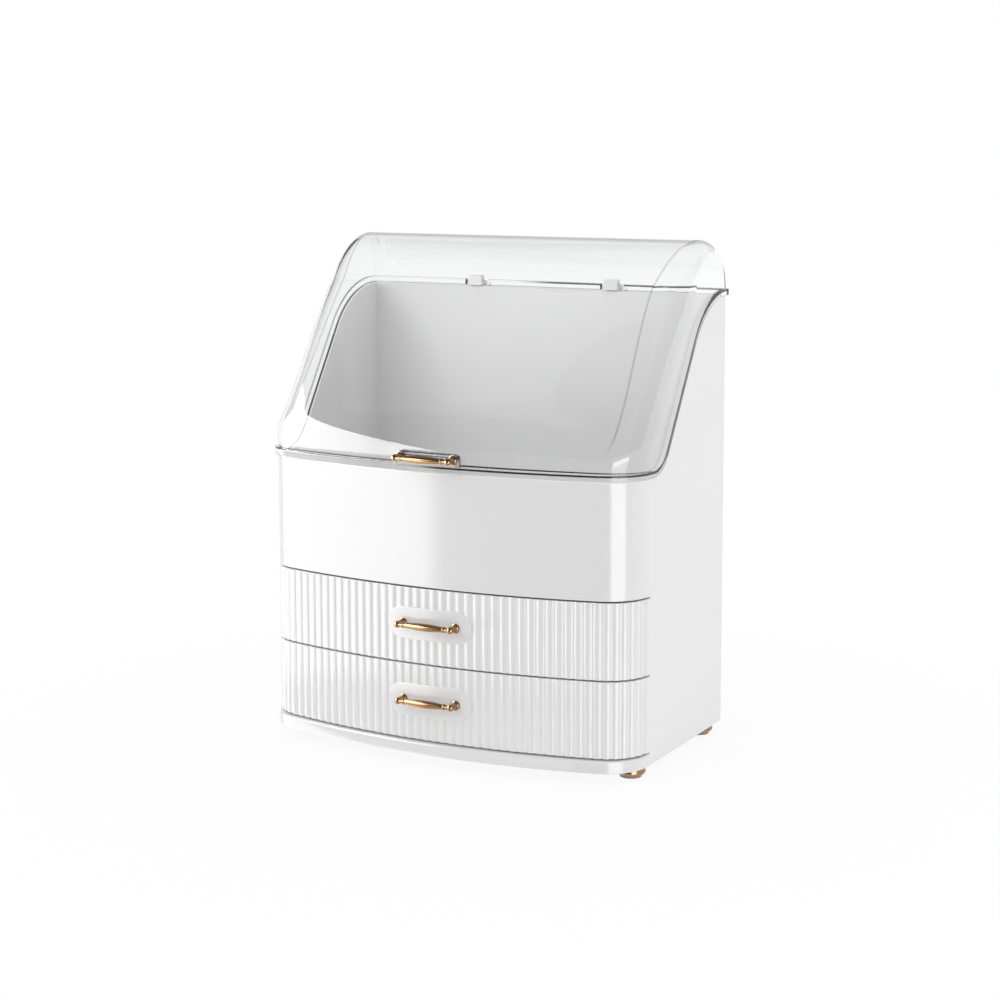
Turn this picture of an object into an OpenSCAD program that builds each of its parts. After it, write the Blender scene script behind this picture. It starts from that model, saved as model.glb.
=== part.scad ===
// Countertop organizer: a bow-fronted housing with an open upper compartment,
// two fluted drawers below it and a clear moulded lid hinged at the back.
// The model stands on its four pads at z = 0, with x to the right and y to
// the back. Depths are worked out from the seam where the drawer fronts end
// on the side walls, and the finished part is centred by place().

/* [Housing] */
// Width over the two side walls
body_w = 310; // [270:1:350]
// Depth of the side walls, from the drawer seam to the back
side_d = 139; // [125:1:165]
// Radius of the two front corners, seen from above
corner_r = 34; // [28:1:40]
// Radius of the bowed front between the corners
bow_r = 543; // [450:1:900]
// Radius of the two rear corners
rear_r = 3; // [2:0.5:5]
// Thickness of the housing walls
wall = 3; // [2.4:0.1:3.6]
// Height of the plain front panel above the drawers
panel_h = 85.5; // [70:0.5:100]
// Height of the back wall above the top of the front panel
back_rise = 121; // [105:1:135]

/* [Side sweep] */
// Distance from the seam to the point where the side wall starts to rise
sweep_start = 1; // [0.8:0.1:4]
// Slope of the rising edge, in degrees from level
sweep_angle = 56.6; // [50:0.2:62]
// Radius of the hollow curve at the foot of the rise
sweep_low_r = 29; // [20:1:34]
// Radius of the round curve at the head of the rise
sweep_high_r = 70; // [50:1:80]

/* [Drawers] */
// Height of one drawer front
front_h = 56.2; // [50:0.2:64]
// Thickness of a drawer front behind its flutes
front_t = 3; // [2.4:0.1:3.6]
// Open gap above and below each drawer front
front_gap = 1.2; // [0.8:0.1:2]
// Width of one flute along the front, before it is evened out
flute_pitch = 7; // [5:0.5:12]
// Height of the flutes
flute_h = 0.9; // [0.5:0.1:1.2]
// Height of the drawer box
box_h = 48; // [40:0.5:50]
// Thickness of the drawer box
box_t = 2; // [1.6:0.1:2.4]
// Free width between a drawer box and the side wall
box_side = 9; // [8.6:0.2:12]
// Free depth between a drawer box and the back wall
box_back = 2; // [1.5:0.5:6]
// Distance that a drawer pulls out
drawer_travel = 120; // [60:1:121]
// Length of the smooth field behind a handle
field_l = 69.5; // [64:0.5:90]
// Height of the smooth field behind a handle
field_h = 24; // [18:1:32]
// Height by which the smooth field stands proud of the flutes
field_proud = 0.5; // [0.3:0.1:1]

/* [Lid] */
// Height of the lid top above the front panel
lid_rise = 164; // [158:1:172]
// Thickness of the lid
lid_t = 2; // [1.6:0.1:2.4]
// Lean of the lid front, in degrees from upright
lid_lean = 41.5; // [36:0.5:44]
// Radius of the curve between the lid rim and its leaning front
lid_low_r = 56; // [48:1:70]
// Length of the level part of the lid top, between the front curve and the back
lid_flat = 1.5; // [1:0.5:16]
// Depth of the round back of the lid
lid_round_d = 27; // [22:1:40]
// Radius of the two upright edges where the lid leans back
lid_edge_r = 25; // [18:1:34]
// Radius of those edges at the top of the lid
lid_top_edge_r = 12; // [6:1:16]
// Share of the bow that is left at the top of the leaning front
lid_top_bow = 0.35; // [0:0.05:1]
// Height of the rim bead
bead_h = 5.2; // [4:0.1:7]
// Distance by which the rim bead stands out
bead_out = 2.5; // [1.5:0.1:3.5]
// Height of the handle pad that rises from the bead
pad_rise = 14.7; // [13:0.1:18]
// Width of the handle pad at its foot
pad_w = 58; // [54:1:70]
// Width that the handle pad loses towards its top
pad_taper = 7; // [0:1:10]
// Distance by which the handle pad stands prouder than the bead
pad_proud = 0.3; // [0.2:0.1:1]

/* [Handles] */
// Distance between the two posts of a handle
post_span = 44; // [38:1:50]
// Distance from the mounting face to the middle of the bar
handle_reach = 7.6; // [7.4:0.1:14]
// Largest radius of the bar
bar_r = 2.9; // [2.4:0.1:3.3]
// Radius of the thin neck of the bar
neck_r = 1.7; // [1.2:0.1:2]
// Radius of a post
post_r = 2.4; // [2.2:0.1:3]
// Radius of the round foot of a post
post_foot_r = 3.7; // [3.2:0.1:4.4]
// Radius of the rounded post head
post_head_r = 2.6; // [2.5:0.1:3.6]

/* [Base and feet] */
// Height of the base lip in front
base_h = 9; // [8:0.5:12]
// Distance by which the base lip stands out in front
base_out = 3; // [1:0.5:4]
// Height of a foot between its pad and the base
foot_h = 7.5; // [7:0.5:12]
// Largest radius of a foot
foot_r = 10.9; // [10:0.1:11]
// Distance from the outside of the housing to the middle of a foot
foot_inset = 14.5; // [14:0.5:20]
// Distance from the back to the middle of a rear foot
foot_back = 12; // [11.5:0.5:20]
// Thickness of a foot pad below the foot
pad_t = 1.5; // [1:0.1:2.5]
// Radius of a foot pad
pad_r = 8; // [7:0.1:8.5]

/* [Shelves] */
// Thickness of the base, the shelf and the compartment floor
shelf_t = 3; // [2.4:0.1:3.2]
// Width of the ledges that carry the shelf and the floor
ledge_w = 5; // [4:0.2:5.4]
// Height of the guide ribs beside the drawers
guide_h = 3; // [2:0.2:4]
// Thickness of a guide rib
guide_t = 1.5; // [1:0.1:1.6]

/* [Hinges] */
// Distance from the middle to each hinge
hinge_x = 60; // [40:1:110]
// Width of the hinge clip on the lid
clip_w = 11; // [8:0.5:16]
// Width of one hinge ear on the housing
ear_w = 4; // [3:0.5:6]
// Radius of the hinge pin
pin_r = 1.25; // [1:0.05:1.4]
// Distance from the back wall to the hinge axis
hinge_out = 3.2; // [3.1:0.1:3.6]
// Radius of the hinge knuckle and ears
knuckle_r = 3.8; // [3.5:0.1:4]
// Angle at which the lid stops
lid_stop = 117; // [100:1:120]

/* [Clearances] */
// Gap between faces that rest on each other
seat_gap = 0.3; // [0.2:0.05:0.4]
// Gap between two fitted curved skins
skin_gap = 0.2; // [0.15:0.05:0.3]
// Running clearance of the hinge pin in the clip
pin_gap = 0.05; // [0.02:0.01:0.08]
// Clearance of a screw in a through hole
screw_gap = 0.25; // [0.2:0.05:0.4]

/* [Hidden] */
$fn = 64;
eps = 0.01;
far = 1000;

// Depth by which an added feature is rooted in the wall it stands on
root = 1;

// Plan of the front: the corner circles lie on the seam line, and the bow
// circle touches both of them from inside.
half_w = body_w / 2;
corner_x = half_w - corner_r;
bow_y = sqrt(pow(bow_r - corner_r, 2) - corner_x * corner_x);
bow_a = asin(corner_x / (bow_r - corner_r));
front_y = bow_y - bow_r;

// Levels, from the floor up
base_z = pad_t + foot_h;
lower_z = base_z + base_h + front_gap;
upper_z = lower_z + front_h + front_gap;
panel_z = upper_z + front_h + front_gap;
deck_z = panel_z + panel_h;
rear_z = deck_z + back_rise;
top_z = deck_z + lid_rise;
box_lift = 0.6;
slide_z = box_lift - seat_gap;
base_deck_z = lower_z + slide_z;
shelf_z = upper_z + slide_z;
ledge_h = 2.5;
floor_z = panel_z + ledge_h;

// Drawer boxes
box_d0 = front_t + skin_gap;
box_half = half_w - wall - box_side;
box_rear = side_d - wall - box_back;
tab_t = 2;
tab_w = 24;
tab_x = 60;
tab_rise = 2.4;
nib_t = 2;
nib_drop = 1.7;
stop_gap = 0.4;
nib_y = box_rear - box_t - drawer_travel - stop_gap;

// Screws: radius of the shank, of the head, and height of the head
m3_r = 1.45;
m3_bore_r = 1.5;
m3_head_r = 2.7;
m3_head_h = 1.8;

// Hinge
hinge_y = side_d + hinge_out;
hinge_z = rear_z + seat_gap;
ear_gap = 0.3;
ear_trim = 0.8;
ear_bore_gap = 0.02;
ear_drop = 16;
heel_r = 0.8;
heel_reach = 4.4;
heel_a = 180 - acos((hinge_out - heel_r) / heel_reach) - lid_stop;
hinge_half = clip_w / 2 + ear_gap + ear_w;

// The whole part is centred between its foremost and its rearmost point.
handle_front = handle_reach + max(bar_r, post_head_r);
front_reach = handle_front - face_y(-bead_out - pad_proud, post_span / 2 - post_foot_r)
    + seat_gap / 3;
rear_reach = hinge_y + heel_reach * cos(heel_a) + heel_r;
mid_y = (rear_reach - front_reach) / 2;

module place() {
    translate([0, -mid_y, 0]) children();
}

// Value at the share t of the way from a to b
function mix(a, b, t) = a * (1 - t) + b * t;

// Depth of the bowed face that lies d inside the outline, at the distance x
function face_y(d, x) = bow_y - sqrt(pow(bow_r - d, 2) - x * x);

// ---------------------------------------------------------------- plan

// The plan of the body, drawn in by d on every side
module plan(d) {
    back_r = max(rear_r - d, 0.5);
    for (s = [-1, 1]) {
        translate([s * corner_x, 0]) circle(corner_r - d);
        translate([s * (half_w - d - back_r), side_d - d - back_r]) circle(back_r);
    }
    translate([-half_w + d, 0]) square([body_w - 2 * d, side_d - d - back_r]);
    translate([-half_w + d + back_r, 0]) square([body_w - 2 * (d + back_r), side_d - d]);
    intersection() {
        translate([0, bow_y]) circle(bow_r - d, $fn = 256);
        polygon([
            [-corner_x, 1], [-corner_x, 0],
            [-corner_x - far * sin(bow_a), -far * cos(bow_a)],
            [corner_x + far * sin(bow_a), -far * cos(bow_a)],
            [corner_x, 0], [corner_x, 1]
        ]);
    }
}

// A plate with the plan of the body, clipped to a width and a rear edge
module clipped_plan(d, half, rear) {
    intersection() {
        plan(d);
        translate([-half, -far]) square([2 * half, far + rear]);
    }
}

// The half plane in front of the seam
module before_seam(gap = 0) {
    translate([-far, -far]) square([2 * far, far - gap]);
}

// A flat shape in the yz plane, given a width along x
module along_x(x0, x1) {
    translate([x0, 0, 0])
        rotate([90, 0, 90])
            linear_extrude(x1 - x0) children();
}

// A cylinder that runs forward (towards -y) from the depth y
module forward_cylinder(x, y, z, r, len) {
    translate([x, y, z]) rotate([90, 0, 0]) cylinder(r = r, h = len);
}

// ---------------------------------------------------------------- side sweep

// The rising edge lifted by off: start, end of the hollow curve, start of the
// round curve and its end, and the two curve centres.
sweep_low_t = sweep_low_r * tan(sweep_angle / 2);
sweep_high_t = sweep_high_r * tan(sweep_angle / 2);
sweep_foot_y = sweep_start + sweep_low_t;
sweep_head_y = sweep_foot_y + back_rise / tan(sweep_angle);
low_c = [sweep_start, deck_z + sweep_low_r];
high_c = [sweep_head_y + sweep_high_t, rear_z - sweep_high_r];

function low_point(off, a) = low_c + (sweep_low_r - off) * [sin(a), -cos(a)];
function high_point(off, a) = high_c + (sweep_high_r + off) * [-sin(a), cos(a)];

// Side view of the housing below the rising edge
module side_view() {
    difference() {
        polygon([
            [-far, base_z], [-far, deck_z],
            low_point(0, 0), low_point(0, sweep_angle),
            high_point(0, sweep_angle), high_point(0, 0),
            [far, rear_z], [far, base_z]
        ]);
        translate(low_c) circle(sweep_low_r);
    }
    intersection() {
        translate(high_c) circle(sweep_high_r);
        polygon([
            high_c, high_point(0, sweep_angle),
            [sweep_head_y, rear_z], high_point(0, 0)
        ]);
    }
}

// ---------------------------------------------------------------- housing

ledge_y0 = 4;

module ledge(z) {
    for (s = [-1, 1])
        translate([s > 0 ? half_w - wall - ledge_w : -half_w + wall - root, ledge_y0, z])
            cube([ledge_w + root, side_d - wall - 2 * ledge_y0, ledge_h]);
}

// Ridges that a shelf snaps under, on both side walls
snap_r = 1;
snap_l = 12;
snap_y = [side_d * 0.25, side_d * 0.75];

module snap_ridges(z) {
    for (s = [-1, 1])
        for (y = snap_y)
            translate([s * (half_w - wall), y, z + snap_r + seat_gap / 2])
                rotate([-90, 0, 0]) cylinder(r = snap_r, h = snap_l, center = true);
}

// Screw bosses on the side walls, above the base plate
boss_r = 3.4;
boss_h = 13;
boss_cap = 1;
tip_gap = 3;
boss_x = half_w - wall - boss_r + 0.4;
boss_y = [side_d * 0.17, side_d * 0.72];
self_tap_r = 1.2;

module base_bosses() {
    for (s = [-1, 1])
        for (y = boss_y)
            translate([s * boss_x, y, base_deck_z + seat_gap / 2])
                cylinder(r = boss_r, h = boss_h);
}

// Side view of one hinge ear with its gusset down the back wall
gusset_a = 30;

module ear_view() {
    difference() {
        union() {
            translate([hinge_y, hinge_z]) circle(knuckle_r);
            polygon([
                [side_d - wall / 2, hinge_z - root],
                [side_d - wall / 2, hinge_z - ear_drop],
                [side_d, hinge_z - ear_drop],
                [hinge_y + knuckle_r * cos(gusset_a), hinge_z - knuckle_r * sin(gusset_a)],
                [hinge_y, hinge_z]
            ]);
        }
        translate([side_d - 2 * wall, rear_z]) square([2 * wall + ear_trim, ear_drop]);
        translate([hinge_y, hinge_z]) circle(pin_r + ear_bore_gap);
    }
}

module hinge_ears() {
    for (s = [-1, 1])
        for (t = [-1, 1]) {
            inner = clip_w / 2 + ear_gap;
            x0 = s * hinge_x + (t > 0 ? inner : -inner - ear_w);
            along_x(x0, x0 + ear_w) ear_view();
        }
}

module housing() {
    color("white")
        place()
            difference() {
                union() {
                    intersection() {
                        translate([0, 0, base_z])
                            linear_extrude(rear_z)
                                difference() {
                                    plan(0);
                                    plan(wall);
                                }
                        along_x(-far, far) side_view();
                    }
                    translate([0, 0, panel_z])
                        linear_extrude(ledge_h)
                            difference() {
                                clipped_plan(wall - root / 2, half_w - wall + root / 2, ledge_y0 + root);
                                plan(wall + ledge_w);
                            }
                    translate([-half_w + wall + ledge_w, side_d - wall - ledge_w, panel_z])
                        cube([body_w - 2 * wall - 2 * ledge_w, ledge_w + root, ledge_h]);
                    ledge(panel_z);
                    ledge(shelf_z - shelf_t - ledge_h);
                    snap_ridges(shelf_z);
                    snap_ridges(floor_z + shelf_t);
                    base_bosses();
                    hinge_ears();
                }
                translate([-far, -far, 0]) cube([2 * far, far, panel_z]);
                for (s = [-1, 1])
                    along_x(s * hinge_x - clip_w / 2 - ear_gap, s * hinge_x + clip_w / 2 + ear_gap)
                        translate([hinge_y, hinge_z]) circle(knuckle_r + seat_gap);
                for (s = [-1, 1])
                    for (y = boss_y)
                        translate([s * boss_x, y, base_deck_z])
                            cylinder(r = self_tap_r + ear_bore_gap, h = boss_h - boss_cap);
            }
}

// ---------------------------------------------------------------- base and shelves

shelf_half = half_w - wall - seat_gap;
shelf_rear = side_d - wall - seat_gap;
shelf_step = 3.5;
shelf_in = front_t + shelf_step;

module guides(z) {
    for (s = [-1, 1])
        translate([s > 0 ? box_half + seat_gap : -box_half - seat_gap - guide_t, ledge_y0, z - eps])
            cube([guide_t, box_rear - ledge_y0, guide_h + eps]);
}

// Nibs that catch the tabs of a pulled-out drawer box
module stop_nibs(under_z, box_top_z) {
    for (s = [-1, 1])
        translate([s * tab_x - tab_w / 2, nib_y - nib_t, box_top_z + nib_drop])
            cube([tab_w, nib_t, under_z - box_top_z - nib_drop + eps]);
}

foot_x = half_w - foot_inset;
foot_y = [0, side_d - foot_back];
foot_boss_r = 8.5;
rib_t = 2;
rib_clear = 3;
rib_z = base_z + rib_clear;
rib_x = body_w / 6;
rib_y = [side_d * 0.25, side_d * 0.65];
lip_root = 2;
skirt_in = 1;
head_room = 0.5;

module base_plate() {
    under = base_deck_z - shelf_t;
    rib_h = under - rib_z + root;
    color("white")
        place()
            difference() {
                union() {
                    translate([0, 0, under])
                        linear_extrude(shelf_t)
                            clipped_plan(shelf_in, shelf_half, shelf_rear);
                    translate([0, 0, base_z])
                        linear_extrude(base_h)
                            intersection() {
                                difference() {
                                    translate([0, -base_out]) plan(0);
                                    plan(shelf_in + lip_root);
                                }
                                before_seam(skin_gap);
                            }
                    translate([0, 0, base_z])
                        linear_extrude(under - base_z + root)
                            intersection() {
                                difference() {
                                    clipped_plan(skirt_in, shelf_half, shelf_rear);
                                    clipped_plan(skirt_in, shelf_half - wall, shelf_rear - wall);
                                }
                                translate([-far, 0]) square([2 * far, far]);
                            }
                    for (x = [-rib_x, rib_x])
                        translate([x - rib_t / 2, front_y + shelf_in + root, rib_z])
                            cube([rib_t, shelf_rear - front_y - shelf_in - 2 * root, rib_h]);
                    for (y = rib_y)
                        translate([-shelf_half + root, y, rib_z])
                            cube([2 * (shelf_half - root), rib_t, rib_h]);
                    for (s = [-1, 1])
                        for (y = foot_y)
                            translate([s * foot_x, y, base_z])
                                cylinder(r = foot_boss_r, h = under - base_z + root);
                    guides(base_deck_z);
                }
                for (s = [-1, 1])
                    for (y = foot_y)
                        translate([s * foot_x, y, base_z - root])
                            cylinder(r = m3_bore_r, h = under - base_z + 2 * root);
                for (s = [-1, 1])
                    for (y = boss_y) {
                        translate([s * boss_x, y, under - root])
                            cylinder(r = self_tap_r + screw_gap, h = shelf_t + 2 * root);
                        translate([s * boss_x, y, base_z - root])
                            cylinder(r = m3_head_r + head_room, h = under - base_z + root);
                    }
            }
}

module drawer_shelf() {
    color("white")
        place() {
            translate([0, 0, shelf_z - shelf_t])
                linear_extrude(shelf_t)
                    clipped_plan(shelf_in, shelf_half, shelf_rear);
            guides(shelf_z);
            stop_nibs(shelf_z - shelf_t, lower_z + box_lift + box_h);
        }
}

module compartment_floor() {
    color("white")
        place() {
            translate([0, 0, floor_z])
                linear_extrude(shelf_t)
                    clipped_plan(wall + seat_gap, shelf_half, shelf_rear);
            stop_nibs(floor_z, upper_z + box_lift + box_h);
        }
}

// A screw that stands on its head at the origin and points up
module pan_screw(shank_r, len) {
    cylinder(r = shank_r, h = m3_head_h + len);
    cylinder(r = m3_head_r, h = m3_head_h);
}

module base_screws() {
    len = shelf_t + boss_h - boss_cap - tip_gap;
    color("silver")
        place()
            for (s = [-1, 1])
                for (y = boss_y)
                    translate([s * boss_x, y, base_deck_z - shelf_t - m3_head_h])
                        pan_screw(self_tap_r, len);
}

// ---------------------------------------------------------------- feet

foot_round = 3;
foot_neck = 1.1;
pad_seat = 0.5;
foot_well_r = m3_head_r + 0.4;
foot_well_h = 3;
foot_arc_step = 15;
foot_tip_gap = 0.5;

module foot(s, y) {
    color("rosybrown")
        place()
            translate([s * foot_x, y, pad_t])
                difference() {
                    rotate_extrude()
                        polygon(concat(
                            [[0, 0]],
                            [for (a = [0 : foot_arc_step : 90])
                                [foot_r - foot_round + foot_round * sin(a),
                                 foot_round - foot_round * cos(a)]],
                            [[foot_r - foot_neck, foot_h], [0, foot_h]]
                        ));
                    translate([0, 0, -root]) cylinder(r = m3_bore_r + screw_gap, h = foot_h + 2 * root);
                    translate([0, 0, -root]) cylinder(r = pad_r + skin_gap / 2, h = root + pad_seat);
                    translate([0, 0, -root]) cylinder(r = foot_well_r, h = root + pad_seat + foot_well_h);
                }
}

module foot_front_left() foot(-1, foot_y[0]);
module foot_front_right() foot(1, foot_y[0]);
module foot_rear_left() foot(-1, foot_y[1]);
module foot_rear_right() foot(1, foot_y[1]);

module foot_pads() {
    color("gray")
        place()
            for (s = [-1, 1])
                for (y = foot_y)
                    translate([s * foot_x, y, 0]) cylinder(r = pad_r, h = pad_t + pad_seat);
}

module foot_screws() {
    head_z = pad_t + pad_seat + foot_well_h - m3_head_h;
    color("silver")
        place()
            for (s = [-1, 1])
                for (y = foot_y)
                    translate([s * foot_x, y, head_z])
                        pan_screw(m3_r, base_deck_z - shelf_t - head_z - m3_head_h - foot_tip_gap);
}

// ---------------------------------------------------------------- handles

collar_step = 0.4;
collar_r = bar_r - collar_step;
collar_in = 6;
collar_x = post_span / 2 - collar_in;
collar_w = 1.6;
bar_end_r = collar_r - collar_step;
bar_steps = 8;
bore_left = 1;
tip_reach = 1.8;
post_edge = 0.5;
post_flare = 1.6;
flare_step = 15;
hole_from = 15;
hole_l = 30;

// Half outline of the bar, as [radius, distance from its middle]
function bar_outline() = concat(
    [for (i = [0 : bar_steps])
        let (t = i / bar_steps)
            [bar_r - (bar_r - bar_end_r) * t * t, t * collar_x]],
    [
        [collar_r, collar_x], [collar_r, collar_x + collar_w],
        [neck_r, collar_x + collar_w], [neck_r, post_span / 2]
    ]
);

function mirrored_outline(pts) = concat(
    [[0, -pts[len(pts) - 1][1]]],
    [for (i = [len(pts) - 1 : -1 : 1]) [pts[i][0], -pts[i][1]]],
    pts,
    [[0, pts[len(pts) - 1][1]]]
);

// Half outline of a post, as [radius, height]: a flared foot and a round stem
function post_outline() = concat(
    [[0, 0], [post_foot_r, 0]],
    [for (a = [0 : flare_step : 90])
        [post_foot_r - (post_foot_r - post_r) * sin(a),
         post_edge + post_flare * (1 - cos(a))]],
    [[post_r, handle_reach], [0, handle_reach]]
);

// A handle whose posts stand on a face d inside the outline, at the height z
module handle(d, z) {
    foot_face = face_y(d, post_span / 2 - post_foot_r) - seat_gap / 3;
    bar_y = foot_face - handle_reach;
    bore_l = handle_reach - bore_left + root;
    difference() {
        union() {
            translate([0, bar_y, z])
                rotate([0, 90, 0])
                    rotate_extrude() polygon(mirrored_outline(bar_outline()));
            for (s = [-1, 1]) {
                translate([s * post_span / 2, foot_face, z])
                    rotate([90, 0, 0])
                        rotate_extrude() polygon(post_outline());
                translate([s * post_span / 2, bar_y, z]) sphere(post_head_r);
            }
        }
        for (s = [-1, 1])
            forward_cylinder(s * post_span / 2, foot_face + root, z, m3_bore_r, bore_l);
    }
}

// Two screws whose heads bear on a face d inside the outline
module handle_screws(d, z, outer_d) {
    head_y = face_y(d, post_span / 2 + m3_head_r) + seat_gap / 3 + m3_head_h;
    tip_y = face_y(outer_d, post_span / 2) - handle_reach + tip_reach;
    for (s = [-1, 1]) {
        forward_cylinder(s * post_span / 2, head_y, z, m3_r, head_y - tip_y);
        forward_cylinder(s * post_span / 2, head_y, z, m3_head_r, m3_head_h);
    }
}

// Through holes for those screws
module handle_holes(z) {
    for (s = [-1, 1])
        forward_cylinder(s * post_span / 2, front_y + hole_from, z, m3_bore_r + screw_gap, hole_l);
}

// ---------------------------------------------------------------- drawers

half_front = (bow_a * bow_r + (90 - bow_a) * corner_r) * PI / 180;
flute_n = floor(half_front / flute_pitch);
flute_step = half_front / flute_n;
flute_fill = 0.43;
flute_half = flute_step * flute_fill;
flute_r = (flute_half * flute_half + flute_h * flute_h) / (2 * flute_h);
bow_len = bow_a * bow_r * PI / 180;

// Middle of the flute circle at the distance s along the front
function flute_c(s) = s < bow_len
    ? let (a = s / bow_r * 180 / PI)
        [(bow_r - flute_r) * sin(a), bow_y - (bow_r - flute_r) * cos(a)]
    : let (a = bow_a + (s - bow_len) / corner_r * 180 / PI)
        [corner_x + (corner_r - flute_r) * sin(a), -(corner_r - flute_r) * cos(a)];

module fluted_plan() {
    intersection() {
        difference() {
            union() {
                plan(flute_h);
                for (i = [0 : flute_n - 1]) {
                    c = flute_c((i + 0.5) * flute_step);
                    translate(c) circle(flute_r);
                    translate([-c[0], c[1]]) circle(flute_r);
                }
            }
            plan(front_t);
        }
        before_seam(skin_gap);
    }
}

module handle_field(z) {
    intersection() {
        translate([0, 0, z - field_h])
            linear_extrude(2 * field_h)
                intersection() {
                    difference() {
                        plan(-field_proud);
                        plan(front_t);
                    }
                    before_seam(corner_r);
                }
        translate([0, 0, z])
            rotate([90, 0, 0])
                linear_extrude(far) {
                    square([field_l - field_h, field_h], center = true);
                    for (s = [-1, 1])
                        translate([s * (field_l - field_h) / 2, 0]) circle(field_h / 2);
                }
    }
}

handle_raise = 1.7;
handle_lift = front_h / 2 + handle_raise;

module drawer_front(z) {
    color("white")
        place()
            difference() {
                union() {
                    translate([0, 0, z]) linear_extrude(front_h) fluted_plan();
                    handle_field(z + handle_lift);
                }
                handle_holes(z + handle_lift);
            }
}

module drawer_box(z) {
    color("white")
        place()
            difference() {
                union() {
                    translate([0, 0, z + box_lift])
                        linear_extrude(box_h) clipped_plan(box_d0, box_half, box_rear);
                    for (s = [-1, 1])
                        translate([s * tab_x - tab_w / 2, box_rear - box_t, z + box_lift + box_h - root])
                            cube([tab_w, tab_t, root + nib_drop + tab_rise]);
                }
                translate([0, 0, z + box_lift + box_t])
                    linear_extrude(box_h)
                        clipped_plan(box_d0 + box_t, box_half - box_t, box_rear - box_t);
                handle_holes(z + handle_lift);
            }
}

module drawer_handle(z) {
    color("rosybrown") place() handle(-field_proud, z + handle_lift);
}

module drawer_screws(z) {
    color("silver")
        place()
            handle_screws(box_d0 + box_t, z + handle_lift, -field_proud);
}

module upper_drawer_box() drawer_box(upper_z);
module upper_drawer_front() drawer_front(upper_z);
module upper_drawer_handle() drawer_handle(upper_z);
module upper_drawer_screws() drawer_screws(upper_z);
module lower_drawer_box() drawer_box(lower_z);
module lower_drawer_front() drawer_front(lower_z);
module lower_drawer_handle() drawer_handle(lower_z);
module lower_drawer_screws() drawer_screws(lower_z);

// ---------------------------------------------------------------- lid

// The lid is one moulded shell. Its middle profile runs up from the rim,
// leans back, turns over the top and comes down in a round back. Every
// station of that profile carries a cross row: a bow and two corner arcs,
// which end on flat sides. The bow flattens out towards the top.

rim_z = deck_z + seat_gap;
bead_z = rim_z + bead_h;
low_steps = 5;
lean_steps = 10;
turn_steps = 7;
round_steps = 8;
bow_steps = 5;
corner_steps = 6;

low_end = [
    front_y + lid_low_r * (1 - cos(lid_lean)),
    bead_z + lid_low_r * sin(lid_lean)
];
lean_top_y = low_end[0] + (top_z - low_end[1]) * tan(lid_lean);
round_y = side_d - lid_round_d;
round_h = top_z - rear_z - seat_gap - bead_h;
turn_y = round_y - lid_flat;
turn_r = (turn_y - lean_top_y) / tan((90 - lid_lean) / 2);
turn_start = [turn_y - turn_r * cos(lid_lean), top_z - turn_r * (1 - sin(lid_lean))];

// Places along the side rim that the rows at the ends of the low curve, the
// leaning front and the top curve run to
low_share = 0.04;
lean_share = 0.72;
turn_share = 0.9;

function ease(t) = t * t * (3 - 2 * t);

// A station: [y, z, angle of the outward normal from straight ahead,
//             share of the bow, corner radius, place along the side rim]
function low_stations() = [for (i = [0 : low_steps])
    let (t = i / low_steps, a = lid_lean * t)
        [front_y + lid_low_r * (1 - cos(a)), bead_z + lid_low_r * sin(a), a,
         1, mix(corner_r, lid_edge_r, ease(t)), low_share * t]];

function lean_stations() = [for (i = [1 : lean_steps])
    let (t = i / lean_steps, p = mix(low_end, turn_start, t))
        [p[0], p[1], lid_lean, mix(1, lid_top_bow, ease(t)), lid_edge_r,
         mix(low_share, lean_share, t)]];

function turn_stations() = [for (i = [1 : turn_steps])
    let (t = i / turn_steps, a = mix(lid_lean, 90, t))
        [turn_y - turn_r * cos(a), top_z - turn_r * (1 - sin(a)), a,
         lid_top_bow * (1 - ease(t)), mix(lid_edge_r, lid_top_edge_r, t),
         mix(lean_share, turn_share, t)]];

function round_stations() = [for (i = [1 : round_steps])
    let (t = i / round_steps, a = 90 * t)
        [round_y + lid_round_d * sin(a), top_z - round_h * (1 - cos(a)),
         90 + atan2(sin(a) / lid_round_d, cos(a) / round_h),
         0, mix(lid_top_edge_r, rear_r, ease(t)), mix(turn_share, 1, t)]];

stations = concat(low_stations(), lean_stations(), turn_stations(), round_stations());
last = len(stations) - 1;

// Cross row of a station, as [x, depth behind the profile, angle] points
function half_row(share, r, half) =
    let (
        big = bow_r / max(share, 0.002),
        cx = half - r,
        a0 = asin(cx / (big - r)),
        cd = big - sqrt(pow(big - r, 2) - cx * cx)
    )
    concat(
        [for (i = [0 : bow_steps])
            let (a = a0 * i / bow_steps) [big * sin(a), big * (1 - cos(a)), a]],
        [for (i = [1 : corner_steps])
            let (a = a0 + (90 - a0) * i / corner_steps)
                [cx + r * sin(a), cd - r * cos(a), a]]
    );

function full_row(h) = concat(
    [for (i = [len(h) - 1 : -1 : 1]) [-h[i][0], h[i][1], -h[i][2]]],
    h
);

// Place along the side rim, lifted by off: a hollow curve, a straight rise and
// a round curve that ends just before the rear corner
rim_end_gap = 3;
rim_low_l = sweep_low_r * sweep_angle * PI / 180;
rim_high_l = sweep_high_r * sweep_angle * PI / 180;
rim_line_l = norm(high_point(0, sweep_angle) - low_point(0, sweep_angle));
rim_end_y = side_d - rear_r - rim_end_gap;
rim_l = rim_low_l + rim_line_l + rim_high_l + rim_end_y - high_c[0];

function rim_point(off, u) =
    let (
        s = u * rim_l,
        t = s - rim_low_l,
        v = t - rim_line_l
    )
    s <= rim_low_l ? low_point(off, sweep_angle * s / rim_low_l)
    : t <= rim_line_l
        ? mix(low_point(off, sweep_angle), high_point(off, sweep_angle), t / rim_line_l)
    : v <= rim_high_l ? high_point(off, sweep_angle * (1 - v / rim_high_l))
    : high_point(off, 0) + [v - rim_high_l, 0];

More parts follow.
